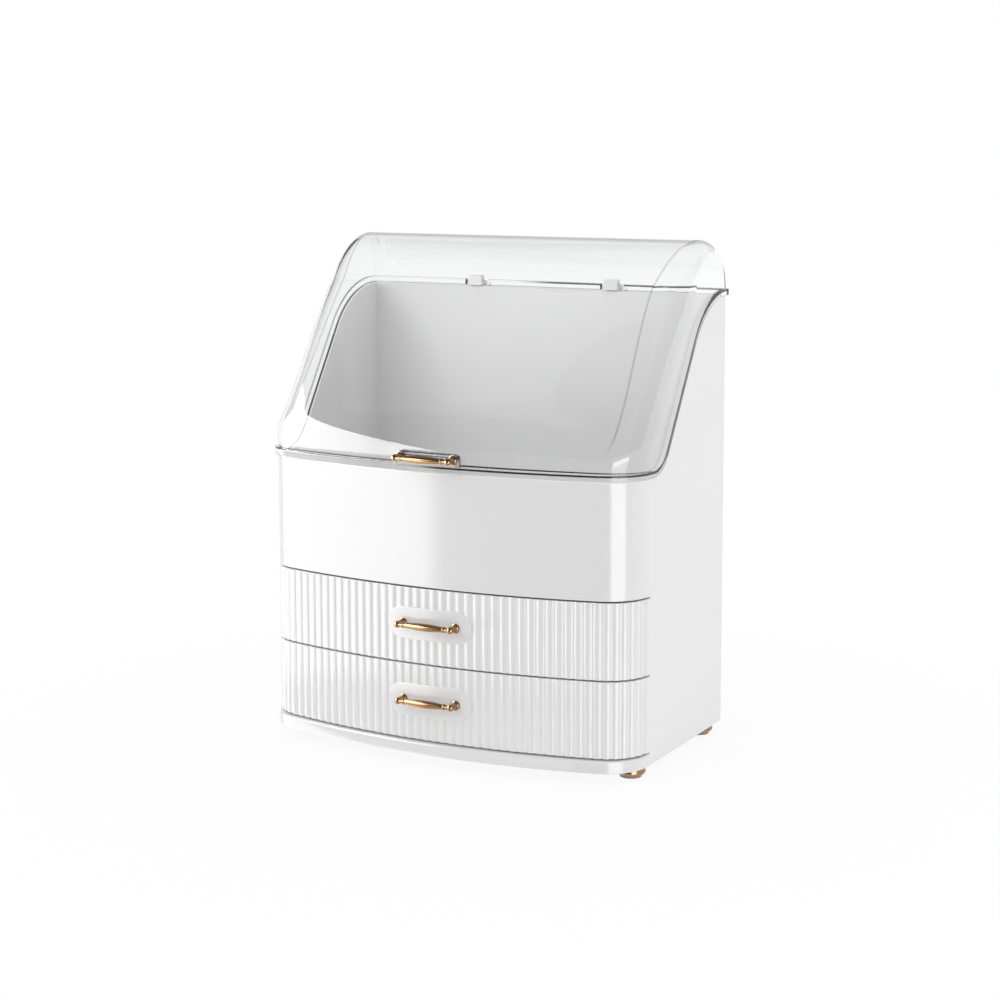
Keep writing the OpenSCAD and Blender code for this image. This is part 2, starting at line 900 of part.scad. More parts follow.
// Points of one row of the shell, t inside the outer face
function shell_row(st, t, off, drop) =
    let (
        n = [cos(st[2]), -sin(st[2])],
        p = [st[0], st[1] - drop] + n * t,
        row = full_row(half_row(st[3], max(st[4] - t, 1), half_w - t)),
        rim = rim_point(off, st[5])
    )
    concat(
        [[-half_w + t, rim[0], rim[1]]],
        [for (q = row) [q[0], p[0] + n[0] * q[1], p[1] + n[1] * q[1]]],
        [[half_w - t, rim[0], rim[1]]]
    );

// The rim loop of one surface: the first row, the right side, the last row
// backwards and the left side back to the start
function rim_loop(rows) =
    let (c = len(rows[0]) - 1)
    concat(
        rows[0],
        [for (i = [1 : last - 1]) rows[i][c]],
        [for (j = [c : -1 : 0]) rows[last][j]],
        [for (i = [last - 1 : -1 : 1]) rows[i][0]]
    );

// Outward direction at every point of that loop, seen from above
function end_dirs(st, dir) =
    let (row = full_row(half_row(st[3], st[4], half_w)))
    concat([[-1, 0]], [for (q = row) [sin(q[2]), dir * cos(q[2])]], [[1, 0]]);

function loop_dirs() =
    let (front = end_dirs(stations[0], -1), back = end_dirs(stations[last], 1))
    concat(
        front,
        [for (i = [1 : last - 1]) [1, 0]],
        [for (j = [len(back) - 1 : -1 : 0]) back[j]],
        [for (i = [1 : last - 1]) [-1, 0]]
    );

function push_out(loop, dirs, d) = [for (i = [0 : len(loop) - 1])
    loop[i] + d * [dirs[i][0], dirs[i][1], 0]];

function flat_list(rows) = [for (r = rows) for (p = r) p];

function grid_faces(rows, cols, flip) = [
    for (i = [0 : rows - 2])
        for (j = [0 : cols - 2])
            let (a = i * cols + j, b = a + 1, c = a + cols, d = c + 1)
                for (t = flip ? [[a, b, d], [a, d, c]] : [[a, d, b], [a, c, d]]) t
];

function loop_index(rows, cols, base) = concat(
    [for (j = [0 : cols - 1]) base + j],
    [for (i = [1 : rows - 2]) base + i * cols + cols - 1],
    [for (j = [cols - 1 : -1 : 0]) base + (rows - 1) * cols + j],
    [for (i = [rows - 2 : -1 : 1]) base + i * cols]
);

function ring_faces(a, b) = [
    for (i = [0 : len(a) - 1])
        let (k = (i + 1) % len(a))
            for (t = [[a[i], b[k], b[i]], [a[i], a[k], b[k]]]) t
];

function shift_faces(faces, by) = [for (f = faces) [for (v = f) v + by]];

module lid_shell() {
    outer = [for (st = stations) shell_row(st, 0, seat_gap + bead_h, 0)];
    inner = [for (i = [0 : last])
        shell_row(stations[i], lid_t, seat_gap, i == 0 || i == last ? bead_h : 0)];
    low = [for (i = [0 : last])
        shell_row(stations[i], 0, seat_gap, i == 0 || i == last ? bead_h : 0)];
    dirs = loop_dirs();
    bead_top = push_out(rim_loop(outer), dirs, bead_out);
    bead_low = push_out(rim_loop(low), dirs, bead_out);
    rows = last + 1;
    cols = len(outer[0]);
    n = rows * cols;
    m = len(bead_top);
    outer_i = loop_index(rows, cols, 0);
    inner_i = loop_index(rows, cols, n);
    top_i = [for (i = [0 : m - 1]) 2 * n + i];
    low_i = [for (i = [0 : m - 1]) 2 * n + m + i];
    polyhedron(
        points = concat(flat_list(outer), flat_list(inner), bead_top, bead_low),
        faces = concat(
            grid_faces(rows, cols, false),
            shift_faces(grid_faces(rows, cols, true), n),
            ring_faces(outer_i, top_i),
            ring_faces(top_i, low_i),
            ring_faces(low_i, inner_i)
        )
    );
}

// Height of the lid handle above the rim
lid_handle_lift = 10.3;
lid_handle_z = rim_z + lid_handle_lift;
pad_in = 1.8;

// Depth that the leaning inner face loses at the top of the screw heads
lean_gap = 0.65;

// The pad that carries the handle: the bead, carried up around it
module handle_pad() {
    intersection() {
        translate([0, 0, rim_z])
            linear_extrude(pad_rise)
                intersection() {
                    difference() {
                        plan(-bead_out - pad_proud);
                        plan(pad_in);
                    }
                    before_seam(corner_r);
                }
        rotate([90, 0, 0])
            linear_extrude(far)
                polygon([
                    [-pad_w / 2, rim_z - root], [pad_w / 2, rim_z - root],
                    [pad_w / 2 - pad_taper / 2, rim_z + pad_rise + root],
                    [-pad_w / 2 + pad_taper / 2, rim_z + pad_rise + root]
                ]);
    }
}

// Notches for the hinges, cut through the bead and the rear rim
notch_h = 4.4;
cut_room = 5;
cut_d = 20;
bead_trim = 2;

module lid() {
    color("gainsboro", 0.4)
        place()
            difference() {
                union() {
                    lid_shell();
                    handle_pad();
                }
                handle_holes(lid_handle_z);
                for (s = [-1, 1]) {
                    x0 = s * hinge_x - hinge_half - ear_gap;
                    w = 2 * (hinge_half + ear_gap);
                    translate([x0, side_d - lid_t - cut_room, rear_z - cut_room])
                        cube([w, cut_d, cut_room + seat_gap + notch_h]);
                    translate([x0, side_d + ear_trim / 2, rear_z - cut_room])
                        cube([w, cut_d, cut_room + bead_h + bead_trim]);
                }
            }
}

clip_leaf_h = 8.5;
clip_t = 1.7;
clip_inset = 0.85;
clip_lift = 0.1;
clip_arm_t = 2.2;

// The clip grips the rear wall of the lid and carries the knuckle. Its heel
// meets the back wall when the lid is fully open.
module hinge_clip(s) {
    inner_y = side_d - lid_t - clip_inset;
    outer_y = side_d + ear_trim;
    color("whitesmoke")
        place()
            along_x(s * hinge_x - clip_w / 2, s * hinge_x + clip_w / 2)
                difference() {
                    union() {
                        translate([inner_y - clip_t, hinge_z + clip_lift])
                            square([clip_t, clip_leaf_h]);
                        translate([inner_y - clip_t, hinge_z + clip_lift])
                            square([hinge_y - inner_y + clip_t, clip_arm_t]);
                        translate([outer_y, hinge_z + clip_lift])
                            square([clip_t, clip_leaf_h]);
                        translate([hinge_y, hinge_z]) {
                            circle(knuckle_r);
                            rotate(-heel_a) {
                                translate([0, -heel_r]) square([heel_reach, 2 * heel_r]);
                                translate([heel_reach, 0]) circle(heel_r);
                            }
                        }
                    }
                    translate([hinge_y, hinge_z]) circle(pin_r + pin_gap);
                }
}

module hinge_clip_left() hinge_clip(-1);
module hinge_clip_right() hinge_clip(1);

module hinge_pin(s) {
    color("silver")
        place()
            translate([s * hinge_x - hinge_half, hinge_y, hinge_z])
                rotate([0, 90, 0]) cylinder(r = pin_r, h = 2 * hinge_half);
}

module hinge_pin_left() hinge_pin(-1);
module hinge_pin_right() hinge_pin(1);

module lid_handle() {
    color("rosybrown") place() handle(-bead_out - pad_proud, lid_handle_z);
}

module lid_handle_screws() {
    color("silver")
        place()
            handle_screws(lid_t + lean_gap, lid_handle_z, -bead_out - pad_proud);
}

// ---------------------------------------------------------------- nodes

housing();
base_plate();
drawer_shelf();
compartment_floor();
base_screws();
foot_front_left();
foot_front_right();
foot_rear_left();
foot_rear_right();
foot_pads();
foot_screws();
hinge_pin_left();
hinge_pin_right();
lid();
hinge_clip_left();
hinge_clip_right();
lid_handle();
lid_handle_screws();
upper_drawer_box();
upper_drawer_front();
upper_drawer_handle();
upper_drawer_screws();
lower_drawer_box();
lower_drawer_front();
lower_drawer_handle();
lower_drawer_screws();
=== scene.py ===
"""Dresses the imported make-up organizer: mesh detail, materials, light and camera.

Lengths in the shape code are in millimetres, x to the right, y to the back from
the seam where the drawer fronts end, and z up from the surface it stands on.
The stage and the camera are in metres.
"""

from math import asin, atan2, cos, hypot, pi, radians, sin, sqrt, tan

import bmesh
import bpy
from mathutils import Matrix, Vector


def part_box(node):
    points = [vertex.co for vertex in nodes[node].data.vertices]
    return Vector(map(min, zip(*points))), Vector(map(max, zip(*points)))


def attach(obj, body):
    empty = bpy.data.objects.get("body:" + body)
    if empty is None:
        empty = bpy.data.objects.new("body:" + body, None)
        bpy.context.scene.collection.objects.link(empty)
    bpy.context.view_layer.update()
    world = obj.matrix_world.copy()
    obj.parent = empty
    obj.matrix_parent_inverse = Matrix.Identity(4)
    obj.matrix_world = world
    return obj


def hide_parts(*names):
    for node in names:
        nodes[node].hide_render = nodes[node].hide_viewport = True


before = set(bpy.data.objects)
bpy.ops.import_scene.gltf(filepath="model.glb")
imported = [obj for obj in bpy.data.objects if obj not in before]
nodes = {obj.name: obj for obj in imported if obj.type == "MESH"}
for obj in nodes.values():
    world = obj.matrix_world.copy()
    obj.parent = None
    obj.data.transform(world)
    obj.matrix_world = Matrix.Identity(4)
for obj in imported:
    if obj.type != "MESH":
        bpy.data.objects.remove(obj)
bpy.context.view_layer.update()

# ------------------------------------------------------------------ sizes

MM = 0.001

# Plan of the cabinet
HALF_W = 155.0
SIDE_D = 139.0
CORNER_R = 34.0
BOW_R = 543.0
REAR_R = 3.0
WALL = 3.0
CORNER_X = HALF_W - CORNER_R
BOW_Y = sqrt((BOW_R - CORNER_R) ** 2 - CORNER_X**2)
BOW_A = asin(CORNER_X / (BOW_R - CORNER_R))
FRONT_Y = BOW_Y - BOW_R
MID_Y = FRONT_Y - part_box("housing")[0].y / MM

# Heights
BASE_Z = 9.0
LOWER_Z = 19.2
UPPER_Z = 76.6
PANEL_Z = 134.0
DECK_Z = 219.5
REAR_Z = 340.5
TOP_Z = 383.5
FRONT_H = 56.2
BASE_DECK_Z = 19.5
SHELF_Z = 76.9
FLOOR_Z = 136.5

# Hinges
HINGE_X = 60.0
HINGE_Y = 142.2
HINGE_Z = 340.8

# Rising edge of the side walls: a low arc, a straight line and a high arc
SWEEP_START = 1.0
SWEEP_A = radians(56.6)
SWEEP_LOW_R = 29.0
SWEEP_HIGH_R = 70.0
SWEEP_FOOT_Y = SWEEP_START + SWEEP_LOW_R * tan(SWEEP_A / 2)
SWEEP_HEAD_Y = SWEEP_FOOT_Y + (REAR_Z - DECK_Z) / tan(SWEEP_A)
LOW_C = (SWEEP_START, DECK_Z + SWEEP_LOW_R)
HIGH_C = (SWEEP_HEAD_Y + SWEEP_HIGH_R * tan(SWEEP_A / 2), REAR_Z - SWEEP_HIGH_R)

# Roundings. SUPPORT is the row beside one that keeps the flat face flat
RIM_EDGE = 0.9
FOOT_EDGE = 0.6
BOX_EDGE = 0.3
MIDDLE = 0.293
SUPPORT = 0.4

# How deep a rib, ledge or boss runs into what carries it
ROOT = 1.0


def mix(a, b, t):
    return a + (b - a) * t


def ease(t):
    return t * t * (3 - 2 * t)


def step(lo, hi, v):
    t = min(max((v - lo) / (hi - lo), 0.0), 1.0)
    return ease(t)


def face_y(d, x):
    """Depth of the bowed face that lies d inside the outline, at the distance x."""
    return BOW_Y - sqrt((BOW_R - d) ** 2 - x * x)


# ------------------------------------------------------------------ shapes

# In metres: points closer than this are merged, and edges shorter than this removed
MERGE = 2e-6
NO_LENGTH = 1e-6


class Shape:
    """Points in millimetres and the faces between them."""

    def __init__(self):
        self.points = []
        self.faces = []
        # Where painted shade goes on the clear lid, by point: dark lines along its edges
        self.edge = {}

    def add(self, pts):
        start = len(self.points)
        self.points.extend(pts)
        return list(range(start, start + len(pts)))

    def bridge(self, rows, around=False, along=False):
        """Faces between rows of point numbers. around closes each row, along the rows."""
        n = len(rows)
        m = len(rows[0])
        for i in range(n if along else n - 1):
            a, b = rows[i], rows[(i + 1) % n]
            for j in range(m if around else m - 1):
                k = (j + 1) % m
                self.faces.append((a[j], a[k], b[k], b[j]))

    def grid(self, rows, around=False, along=False):
        ids = [self.add(r) for r in rows]
        self.bridge(ids, around, along)
        return ids

    def cap(self, ids):
        self.faces.append(tuple(ids))

    def prism(self, poly, place, lo, hi, r=BOX_EDGE):
        """A flat outline given a thickness, with rounded edges. place maps (u, v, w)."""
        k = r * (1 - sqrt(0.5))
        rings = []
        for w, d in ((lo, r), (lo + k, k), (lo + r, 0), (hi - r, 0), (hi - k, k), (hi, r)):
            rings.append([place(u, v, w) for u, v in inset(poly, d)])
        ids = self.grid(rings, around=True)
        self.cap(ids[0])
        self.cap(ids[-1])

    def box(self, x0, x1, y0, y1, z0, z1):
        poly = [(x0, y0), (x1, y0), (x1, y1), (x0, y1)]
        self.prism(poly, lambda u, v, w: (u, v, w), z0, z1)

    def lathe(self, outline, place, n=48):
        """Turns (radius, height) points round an axis. place maps (u, v, height)."""
        turns = [2 * pi * i / n for i in range(n)]
        rings = [[place(r * cos(a), r * sin(a), h) for a in turns] for r, h in outline]
        self.grid(rings, around=True)


def inset(poly, d):
    """The outline drawn in by d. It may turn either way."""
    if d == 0:
        return list(poly)
    n = len(poly)
    area = sum(
        poly[i][0] * poly[(i + 1) % n][1] - poly[(i + 1) % n][0] * poly[i][1] for i in range(n)
    )
    turn = 1 if area > 0 else -1
    sharpest = 0.3
    out = []
    for i in range(n):
        (ax, ay), (bx, by), (cx, cy) = poly[i - 1], poly[i], poly[(i + 1) % n]
        l1 = hypot(bx - ax, by - ay) or 1
        l2 = hypot(cx - bx, cy - by) or 1
        n1 = (-(by - ay) / l1 * turn, (bx - ax) / l1 * turn)
        n2 = (-(cy - by) / l2 * turn, (cx - bx) / l2 * turn)
        k = max(1 + n1[0] * n2[0] + n1[1] * n2[1], sharpest)
        out.append((bx + (n1[0] + n2[0]) / k * d, by + (n1[1] + n2[1]) / k * d))
    return out


def make(name, shape, body, node_name, slot, sharp=30.0):
    """Turns a shape into an object that stands for a CAD node and rides on its body."""
    mesh = bpy.data.meshes.new(name)
    points = [(x * MM, (y - MID_Y) * MM, z * MM) for x, y, z in shape.points]
    mesh.from_pydata(points, [], shape.faces)
    # The painted shade of the lid's dark lines goes onto the mesh as the value 'edge'
    if shape.edge:
        edge = mesh.attributes.new("edge", "FLOAT", "POINT")
        for i, value in shape.edge.items():
            edge.data[i].value = value
    bm = bmesh.new()
    bm.from_mesh(mesh)
    bmesh.ops.remove_doubles(bm, verts=bm.verts, dist=MERGE)
    for _ in range(2):
        bmesh.ops.dissolve_degenerate(bm, edges=bm.edges, dist=NO_LENGTH)
    bmesh.ops.recalc_face_normals(bm, faces=bm.faces)
    bm.to_mesh(mesh)
    bm.free()
    mesh.polygons.foreach_set("use_smooth", [True] * len(mesh.polygons))
    mesh.set_sharp_from_angle(angle=radians(sharp))
    obj = bpy.data.objects.new(name, mesh)
    bpy.context.scene.collection.objects.link(obj)
    mesh.materials.append(SLOTS[slot])
    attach(obj, body)
    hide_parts(node_name)
    return obj


# ------------------------------------------------------------------ materials

# The clouds of gloss are finer than those of colour, and only their middle levels count
GLOSS_FINER = 3.7
GLOSS_FROM, GLOSS_TO = 0.3, 0.7
GRAIN_STRENGTH = 0.25


def node(tree, kind, **settings):
    n = tree.nodes.new(kind)
    for key, value in settings.items():
        if key in n.inputs:
            n.inputs[key].default_value = value
        else:
            setattr(n, key, value)
    return n


def new_material(name):
    """An empty material, its node tree and its output."""
    m = bpy.data.materials.new(name)
    m.use_nodes = True
    m.node_tree.nodes.clear()
    return m, m.node_tree, node(m.node_tree, "ShaderNodeOutputMaterial")


def surface(name, tints, rough, grain, grain_depth, cloud=9.0, edge=None, **sockets):
    """A moulded or plated surface: soft clouds of colour and of gloss, and a fine grain.

    edge is the colour of painted shade on clear plastic: dark lines along its thick edges that
    stand in for refracted dark surroundings, mixed in by the mesh value 'edge'.
    """
    m, t, out = new_material(name)
    link = t.links.new
    bsdf = node(t, "ShaderNodeBsdfPrincipled")
    for key, value in sockets.items():
        bsdf.inputs[key.replace("_", " ")].default_value = value
    where = node(t, "ShaderNodeTexCoord")
    clouds = node(t, "ShaderNodeTexNoise", Scale=cloud, Detail=3.0, Roughness=0.5)
    colours = node(t, "ShaderNodeMix", data_type="RGBA")
    colours.inputs[6].default_value = (*tints[0], 1)
    colours.inputs[7].default_value = (*tints[1], 1)
    gloss = node(t, "ShaderNodeTexNoise", Scale=cloud * GLOSS_FINER, Detail=4.0, Roughness=0.6)
    gloss_range = node(t, "ShaderNodeMapRange")
    gloss_range.inputs["From Min"].default_value = GLOSS_FROM
    gloss_range.inputs["From Max"].default_value = GLOSS_TO
    gloss_range.inputs["To Min"].default_value = rough[0]
    gloss_range.inputs["To Max"].default_value = rough[1]
    fine = node(t, "ShaderNodeTexNoise", Scale=grain, Detail=2.0, Roughness=0.5)
    bump = node(t, "ShaderNodeBump", Strength=GRAIN_STRENGTH, Distance=grain_depth)
    for tex in (clouds, gloss, fine):
        link(where.outputs["Object"], tex.inputs["Vector"])
    link(clouds.outputs["Fac"], colours.inputs[0])
    if edge:
        # Painted shade: the mesh value 'edge' mixes the dark colour into the base colour
        painted_shade = node(t, "ShaderNodeAttribute", attribute_name="edge")
        deep = node(t, "ShaderNodeMix", data_type="RGBA")
        deep.inputs[7].default_value = (*edge, 1)
        link(painted_shade.outputs["Fac"], deep.inputs[0])
        link(colours.outputs[2], deep.inputs[6])
        link(deep.outputs[2], bsdf.inputs["Base Color"])
    else:
        link(colours.outputs[2], bsdf.inputs["Base Color"])
    link(gloss.outputs["Fac"], gloss_range.inputs["Value"])
    link(gloss_range.outputs["Result"], bsdf.inputs["Roughness"])
    link(fine.outputs["Fac"], bump.inputs["Height"])
    link(bump.outputs["Normal"], bsdf.inputs["Normal"])
    link(bsdf.outputs["BSDF"], out.inputs["Surface"])
    return m


SLOTS = {
    "white_gloss": surface(
        "white_gloss", ((0.80, 0.80, 0.80), (0.83, 0.83, 0.825)), (0.13, 0.17), 900.0, 0.00003,
        Coat_Weight=0.25, Coat_Roughness=0.06, IOR=1.5,
    ),
    "white_inner": surface(
        "white_inner", ((0.78, 0.78, 0.775), (0.81, 0.81, 0.80)), (0.34, 0.42), 700.0, 0.00006,
        IOR=1.5,
    ),
    "clear_lid": surface(
        "clear_lid", ((0.985, 0.988, 0.99), (0.995, 0.996, 0.998)), (0.015, 0.03), 120.0, 0.00002,
        cloud=5.0, edge=(0.004, 0.004, 0.005), Transmission_Weight=1.0, IOR=1.46,
    ),
    "rose_gold": surface(
        "rose_gold", ((0.318, 0.188, 0.098), (0.362, 0.219, 0.115)), (0.17, 0.24), 1400.0, 0.00002,
        cloud=60.0, Metallic=1.0,
    ),
    "steel": surface(
        "steel", ((0.55, 0.55, 0.56), (0.66, 0.66, 0.67)), (0.24, 0.34), 2200.0, 0.00003,
        cloud=80.0, Metallic=1.0,
    ),
    "pad_rubber": surface(
        "pad_rubber", ((0.30, 0.29, 0.28), (0.36, 0.35, 0.34)), (0.6, 0.75), 1600.0, 0.0001,
        cloud=40.0,
    ),
}

# ------------------------------------------------------------------ outline

REAR_STEPS = 6
BACK_XS = (HALF_W - REAR_R - SUPPORT, 120.0, 80.0, 40.0, 0.0)


def half_outline(side, bow=30, corner=18):
    """Right half of the plan, front to back: x, y, outward normal. side holds its depths."""
    pts = []
    for i in range(bow):
        a = BOW_A * i / bow
        pts.append((BOW_R * sin(a), BOW_Y - BOW_R * cos(a), sin(a), -cos(a)))
    for i in range(corner + 1):
        a = mix(BOW_A, pi / 2, i / corner)
        pts.append((CORNER_X + CORNER_R * sin(a), -CORNER_R * cos(a), sin(a), -cos(a)))
    for y in (*side, SIDE_D - REAR_R - SUPPORT):
        pts.append((HALF_W, y, 1.0, 0.0))
    for i in range(REAR_STEPS + 1):
        a = pi / 2 * i / REAR_STEPS
        c = (HALF_W - REAR_R, SIDE_D - REAR_R)
        pts.append((c[0] + REAR_R * cos(a), c[1] + REAR_R * sin(a), cos(a), sin(a)))
    for x in BACK_XS:
        pts.append((x, SIDE_D, 0.0, 1.0))
    return pts


def sweep_z(y):
    """Height of the rising edge of the side wall."""
    if y <= SWEEP_START:
        return DECK_Z
    if y < SWEEP_START + SWEEP_LOW_R * sin(SWEEP_A):
        return LOW_C[1] - sqrt(SWEEP_LOW_R**2 - (y - LOW_C[0]) ** 2)
    if y < HIGH_C[0] - SWEEP_HIGH_R * sin(SWEEP_A):
        return DECK_Z + (y - SWEEP_FOOT_Y) * tan(SWEEP_A)
    if y < HIGH_C[0]:
        return HIGH_C[1] + sqrt(SWEEP_HIGH_R**2 - (y - HIGH_C[0]) ** 2)
    return REAR_Z


def sweep_ys(low=14, high=18):
    """Depths of the stations along that edge."""
    ys = [0.0, 0.5]
    ys += [LOW_C[0] + SWEEP_LOW_R * sin(SWEEP_A * i / low) for i in range(low + 1)]
    a, b = ys[-1], HIGH_C[0] - SWEEP_HIGH_R * sin(SWEEP_A)
    ys += [mix(a, b, t) for t in (0.25, 0.5, 0.75)]
    ys += [HIGH_C[0] - SWEEP_HIGH_R * sin(SWEEP_A * (1 - i / high)) for i in range(high + 1)]
    return ys


# ------------------------------------------------------------------ housing

RIM_STEPS = 4
LEDGE = 5.0
LEDGE_T = 2.5
LEDGE_END = 4.0
SHELF_LEDGE_Z = SHELF_Z - 5.5
CLICK_ZS = (SHELF_Z + 1.15, FLOOR_Z + 4.15)
CLICK_YS = (SIDE_D * 0.25, SIDE_D * 0.75)
CLICK_R = 1.0
CLICK_HALF = 6.0
TUBE_X = HALF_W - WALL - 3.0
TUBE_YS = (SIDE_D * 0.17, SIDE_D * 0.72)
TUBE_Z = BASE_DECK_Z + 0.15
TUBE = [(1.25, 0.5), (1.45, 0.0), (3.1, 0.0), (3.4, 0.3), (3.4, 12.7), (3.1, 13.0), (0.0, 13.0)]
EAR_T = 4.0
EAR_XS = (5.8, -9.8)
EAR_R = 3.8
EAR_DROP = 16.0
EAR_STEPS = 22
PIN_BORE_R = 1.27


def wall_ring(x, y, nx, ny, top, low):
    """Section of the wall: its rounded foot, its outer face, rounded top and inner face."""
    r, rb = RIM_EDGE, FOOT_EDGE
    panel = max(low, PANEL_Z)
    ring = [(rb, low), (rb * MIDDLE, low + rb * MIDDLE), (0, low + rb), (0, low + rb + SUPPORT)]
    ring += [(0, panel + rb + 2 * SUPPORT), (0, top - r - SUPPORT)]
    arc = [pi / 2 * i / RIM_STEPS for i in range(RIM_STEPS + 1)]
    ring += [(r * (1 - cos(a)), top - r * (1 - sin(a))) for a in arc]
    ring += [(WALL - r * (1 - cos(a)), top - r * (1 - sin(a))) for a in arc[::-1]]
    ring += [(WALL, top - r - SUPPORT), (WALL, panel), (WALL, low)]
    return [(x - nx * d, y - ny * d, z) for d, z in ring]


def build_ledges(s, half):
    """Ledges on the front, back and side walls, and the beads that the floors click under."""
    lip = [p for p in half if p[1] < LEDGE]
    lip = [(-x, y, -nx, ny) for x, y, nx, ny in lip[:0:-1]] + lip
    near, far = WALL - ROOT / 2, WALL + LEDGE
    ring = [(near, PANEL_Z), (near, FLOOR_Z), (far, FLOOR_Z), (far, PANEL_Z)]
    rows = [[(x - nx * d, y - ny * d, z) for d, z in ring] for x, y, nx, ny in lip]
    ids = s.grid(rows, around=True)
    s.cap(ids[0])
    s.cap(ids[-1])
    inner, back = HALF_W - WALL, SIDE_D - WALL
    s.box(-inner + LEDGE, inner - LEDGE, back - LEDGE, back + ROOT, PANEL_Z, FLOOR_Z)
    arc = [2 * pi * i / 16 for i in range(16)]
    bead = [(CLICK_R * cos(a), CLICK_R * sin(a)) for a in arc]
    for side in (-1, 1):
        for z in (PANEL_Z, SHELF_LEDGE_Z):
            x = sorted((side * (inner - LEDGE), side * (inner + ROOT)))
            s.box(*x, LEDGE_END, back - LEDGE_END, z, z + LEDGE_T)
        for z in CLICK_ZS:
            for y in CLICK_YS:
                s.prism(
                    bead,
                    lambda u, v, w, c=side * inner, h=z: (c + u, w, h + v),
                    y - CLICK_HALF,
                    y + CLICK_HALF,
                )
        for y in TUBE_YS:
            s.lathe(TUBE, lambda u, v, h, c=side * TUBE_X, y=y: (c + u, y + v, TUBE_Z + h), 24)


def build_ear(s, x0, x1):
    """A hinge ear: a round eye with its gusset down the back wall, and a bored face."""
    start = asin(2.4 / EAR_R)
    outer = [(HINGE_Y - 2.4, HINGE_Z - 0.3)]
    for i in range(EAR_STEPS + 1):
        a = pi / 2 + start - (pi * 2 / 3 + start) * i / EAR_STEPS
        outer.append((HINGE_Y + EAR_R * cos(a), HINGE_Z + EAR_R * sin(a)))
    root_y = SIDE_D - 0.2
    outer += [(SIDE_D + 0.02, HINGE_Z - EAR_DROP), (root_y, HINGE_Z - EAR_DROP + 0.2)]
    outer += [(root_y, HINGE_Z - 0.35)]
    outer.reverse()
    bore = []
    for y, z in outer:
        a = atan2(z - HINGE_Z, y - HINGE_Y)
        bore.append((HINGE_Y + PIN_BORE_R * cos(a), HINGE_Z + PIN_BORE_R * sin(a)))
    k = 0.25
    rings = [[(x0, y, z) for y, z in bore]]
    for x, d in ((x0, k), (x0 + k, 0), (x1 - k, 0), (x1, k)):
        rings.append([(x, y, z) for y, z in inset(outer, d)])
    rings.append([(x1, y, z) for y, z in bore])
    s.grid(rings, around=True, along=True)


def build_housing():
    """The wall in one loop. It steps down to the base where the front panel ends."""
    s = Shape()
    half = half_outline(sweep_ys())
    seam = next(i for i, p in enumerate(half) if p[1] >= 0)
    stations = []
    for i, p in enumerate(half):
        if i <= seam:
            stations.append((*p, DECK_Z, PANEL_Z))
        if i >= seam:
            stations.append((*p, sweep_z(p[1]) if p[2] == 1.0 else REAR_Z, BASE_Z))
    left = [(-x, y, -nx, ny, t, b) for x, y, nx, ny, t, b in stations[-2:0:-1]]
    s.grid([wall_ring(*st) for st in stations + left], around=True, along=True)
    build_ledges(s, half)
    for side in (-1, 1):
        for x in EAR_XS:
            x0 = side * HINGE_X + x
            build_ear(s, x0, x0 + EAR_T)
    make("housing_shell", s, "cabinet", "housing", "white_gloss")


# ------------------------------------------------------------------ base

LIP_OUT = 3.0
DECK_T = 3.0
BASE_GAP = 0.3
LIP = (
    (9.0, 9.0), (0.8, 9.0), (0.23, 9.23), (0.0, 9.8), (0.0, 10.2), (0.0, 16.2), (0.0, 16.6),
    (0.1, 17.1), (0.41, 17.59), (0.9, 17.9), (1.4, 18.0), (9.0, 18.0),
)
LIP_END = 2.8
DECK_IN = 6.5
RIB_Z = BASE_Z + 3.0
RIB_T = 2.0
RIB_X = HALF_W / 3
RIB_YS = (SIDE_D * 0.25, SIDE_D * 0.65)
GUIDE_XS = (HALF_W - WALL - 8.7, HALF_W - WALL - 7.2)
GUIDE_YS = (4.0, 134.0)
GUIDE_H = 3.0
FOOT_X = 140.5
FOOT_YS = (0.0, 127.0)
BOSS_R = 8.5


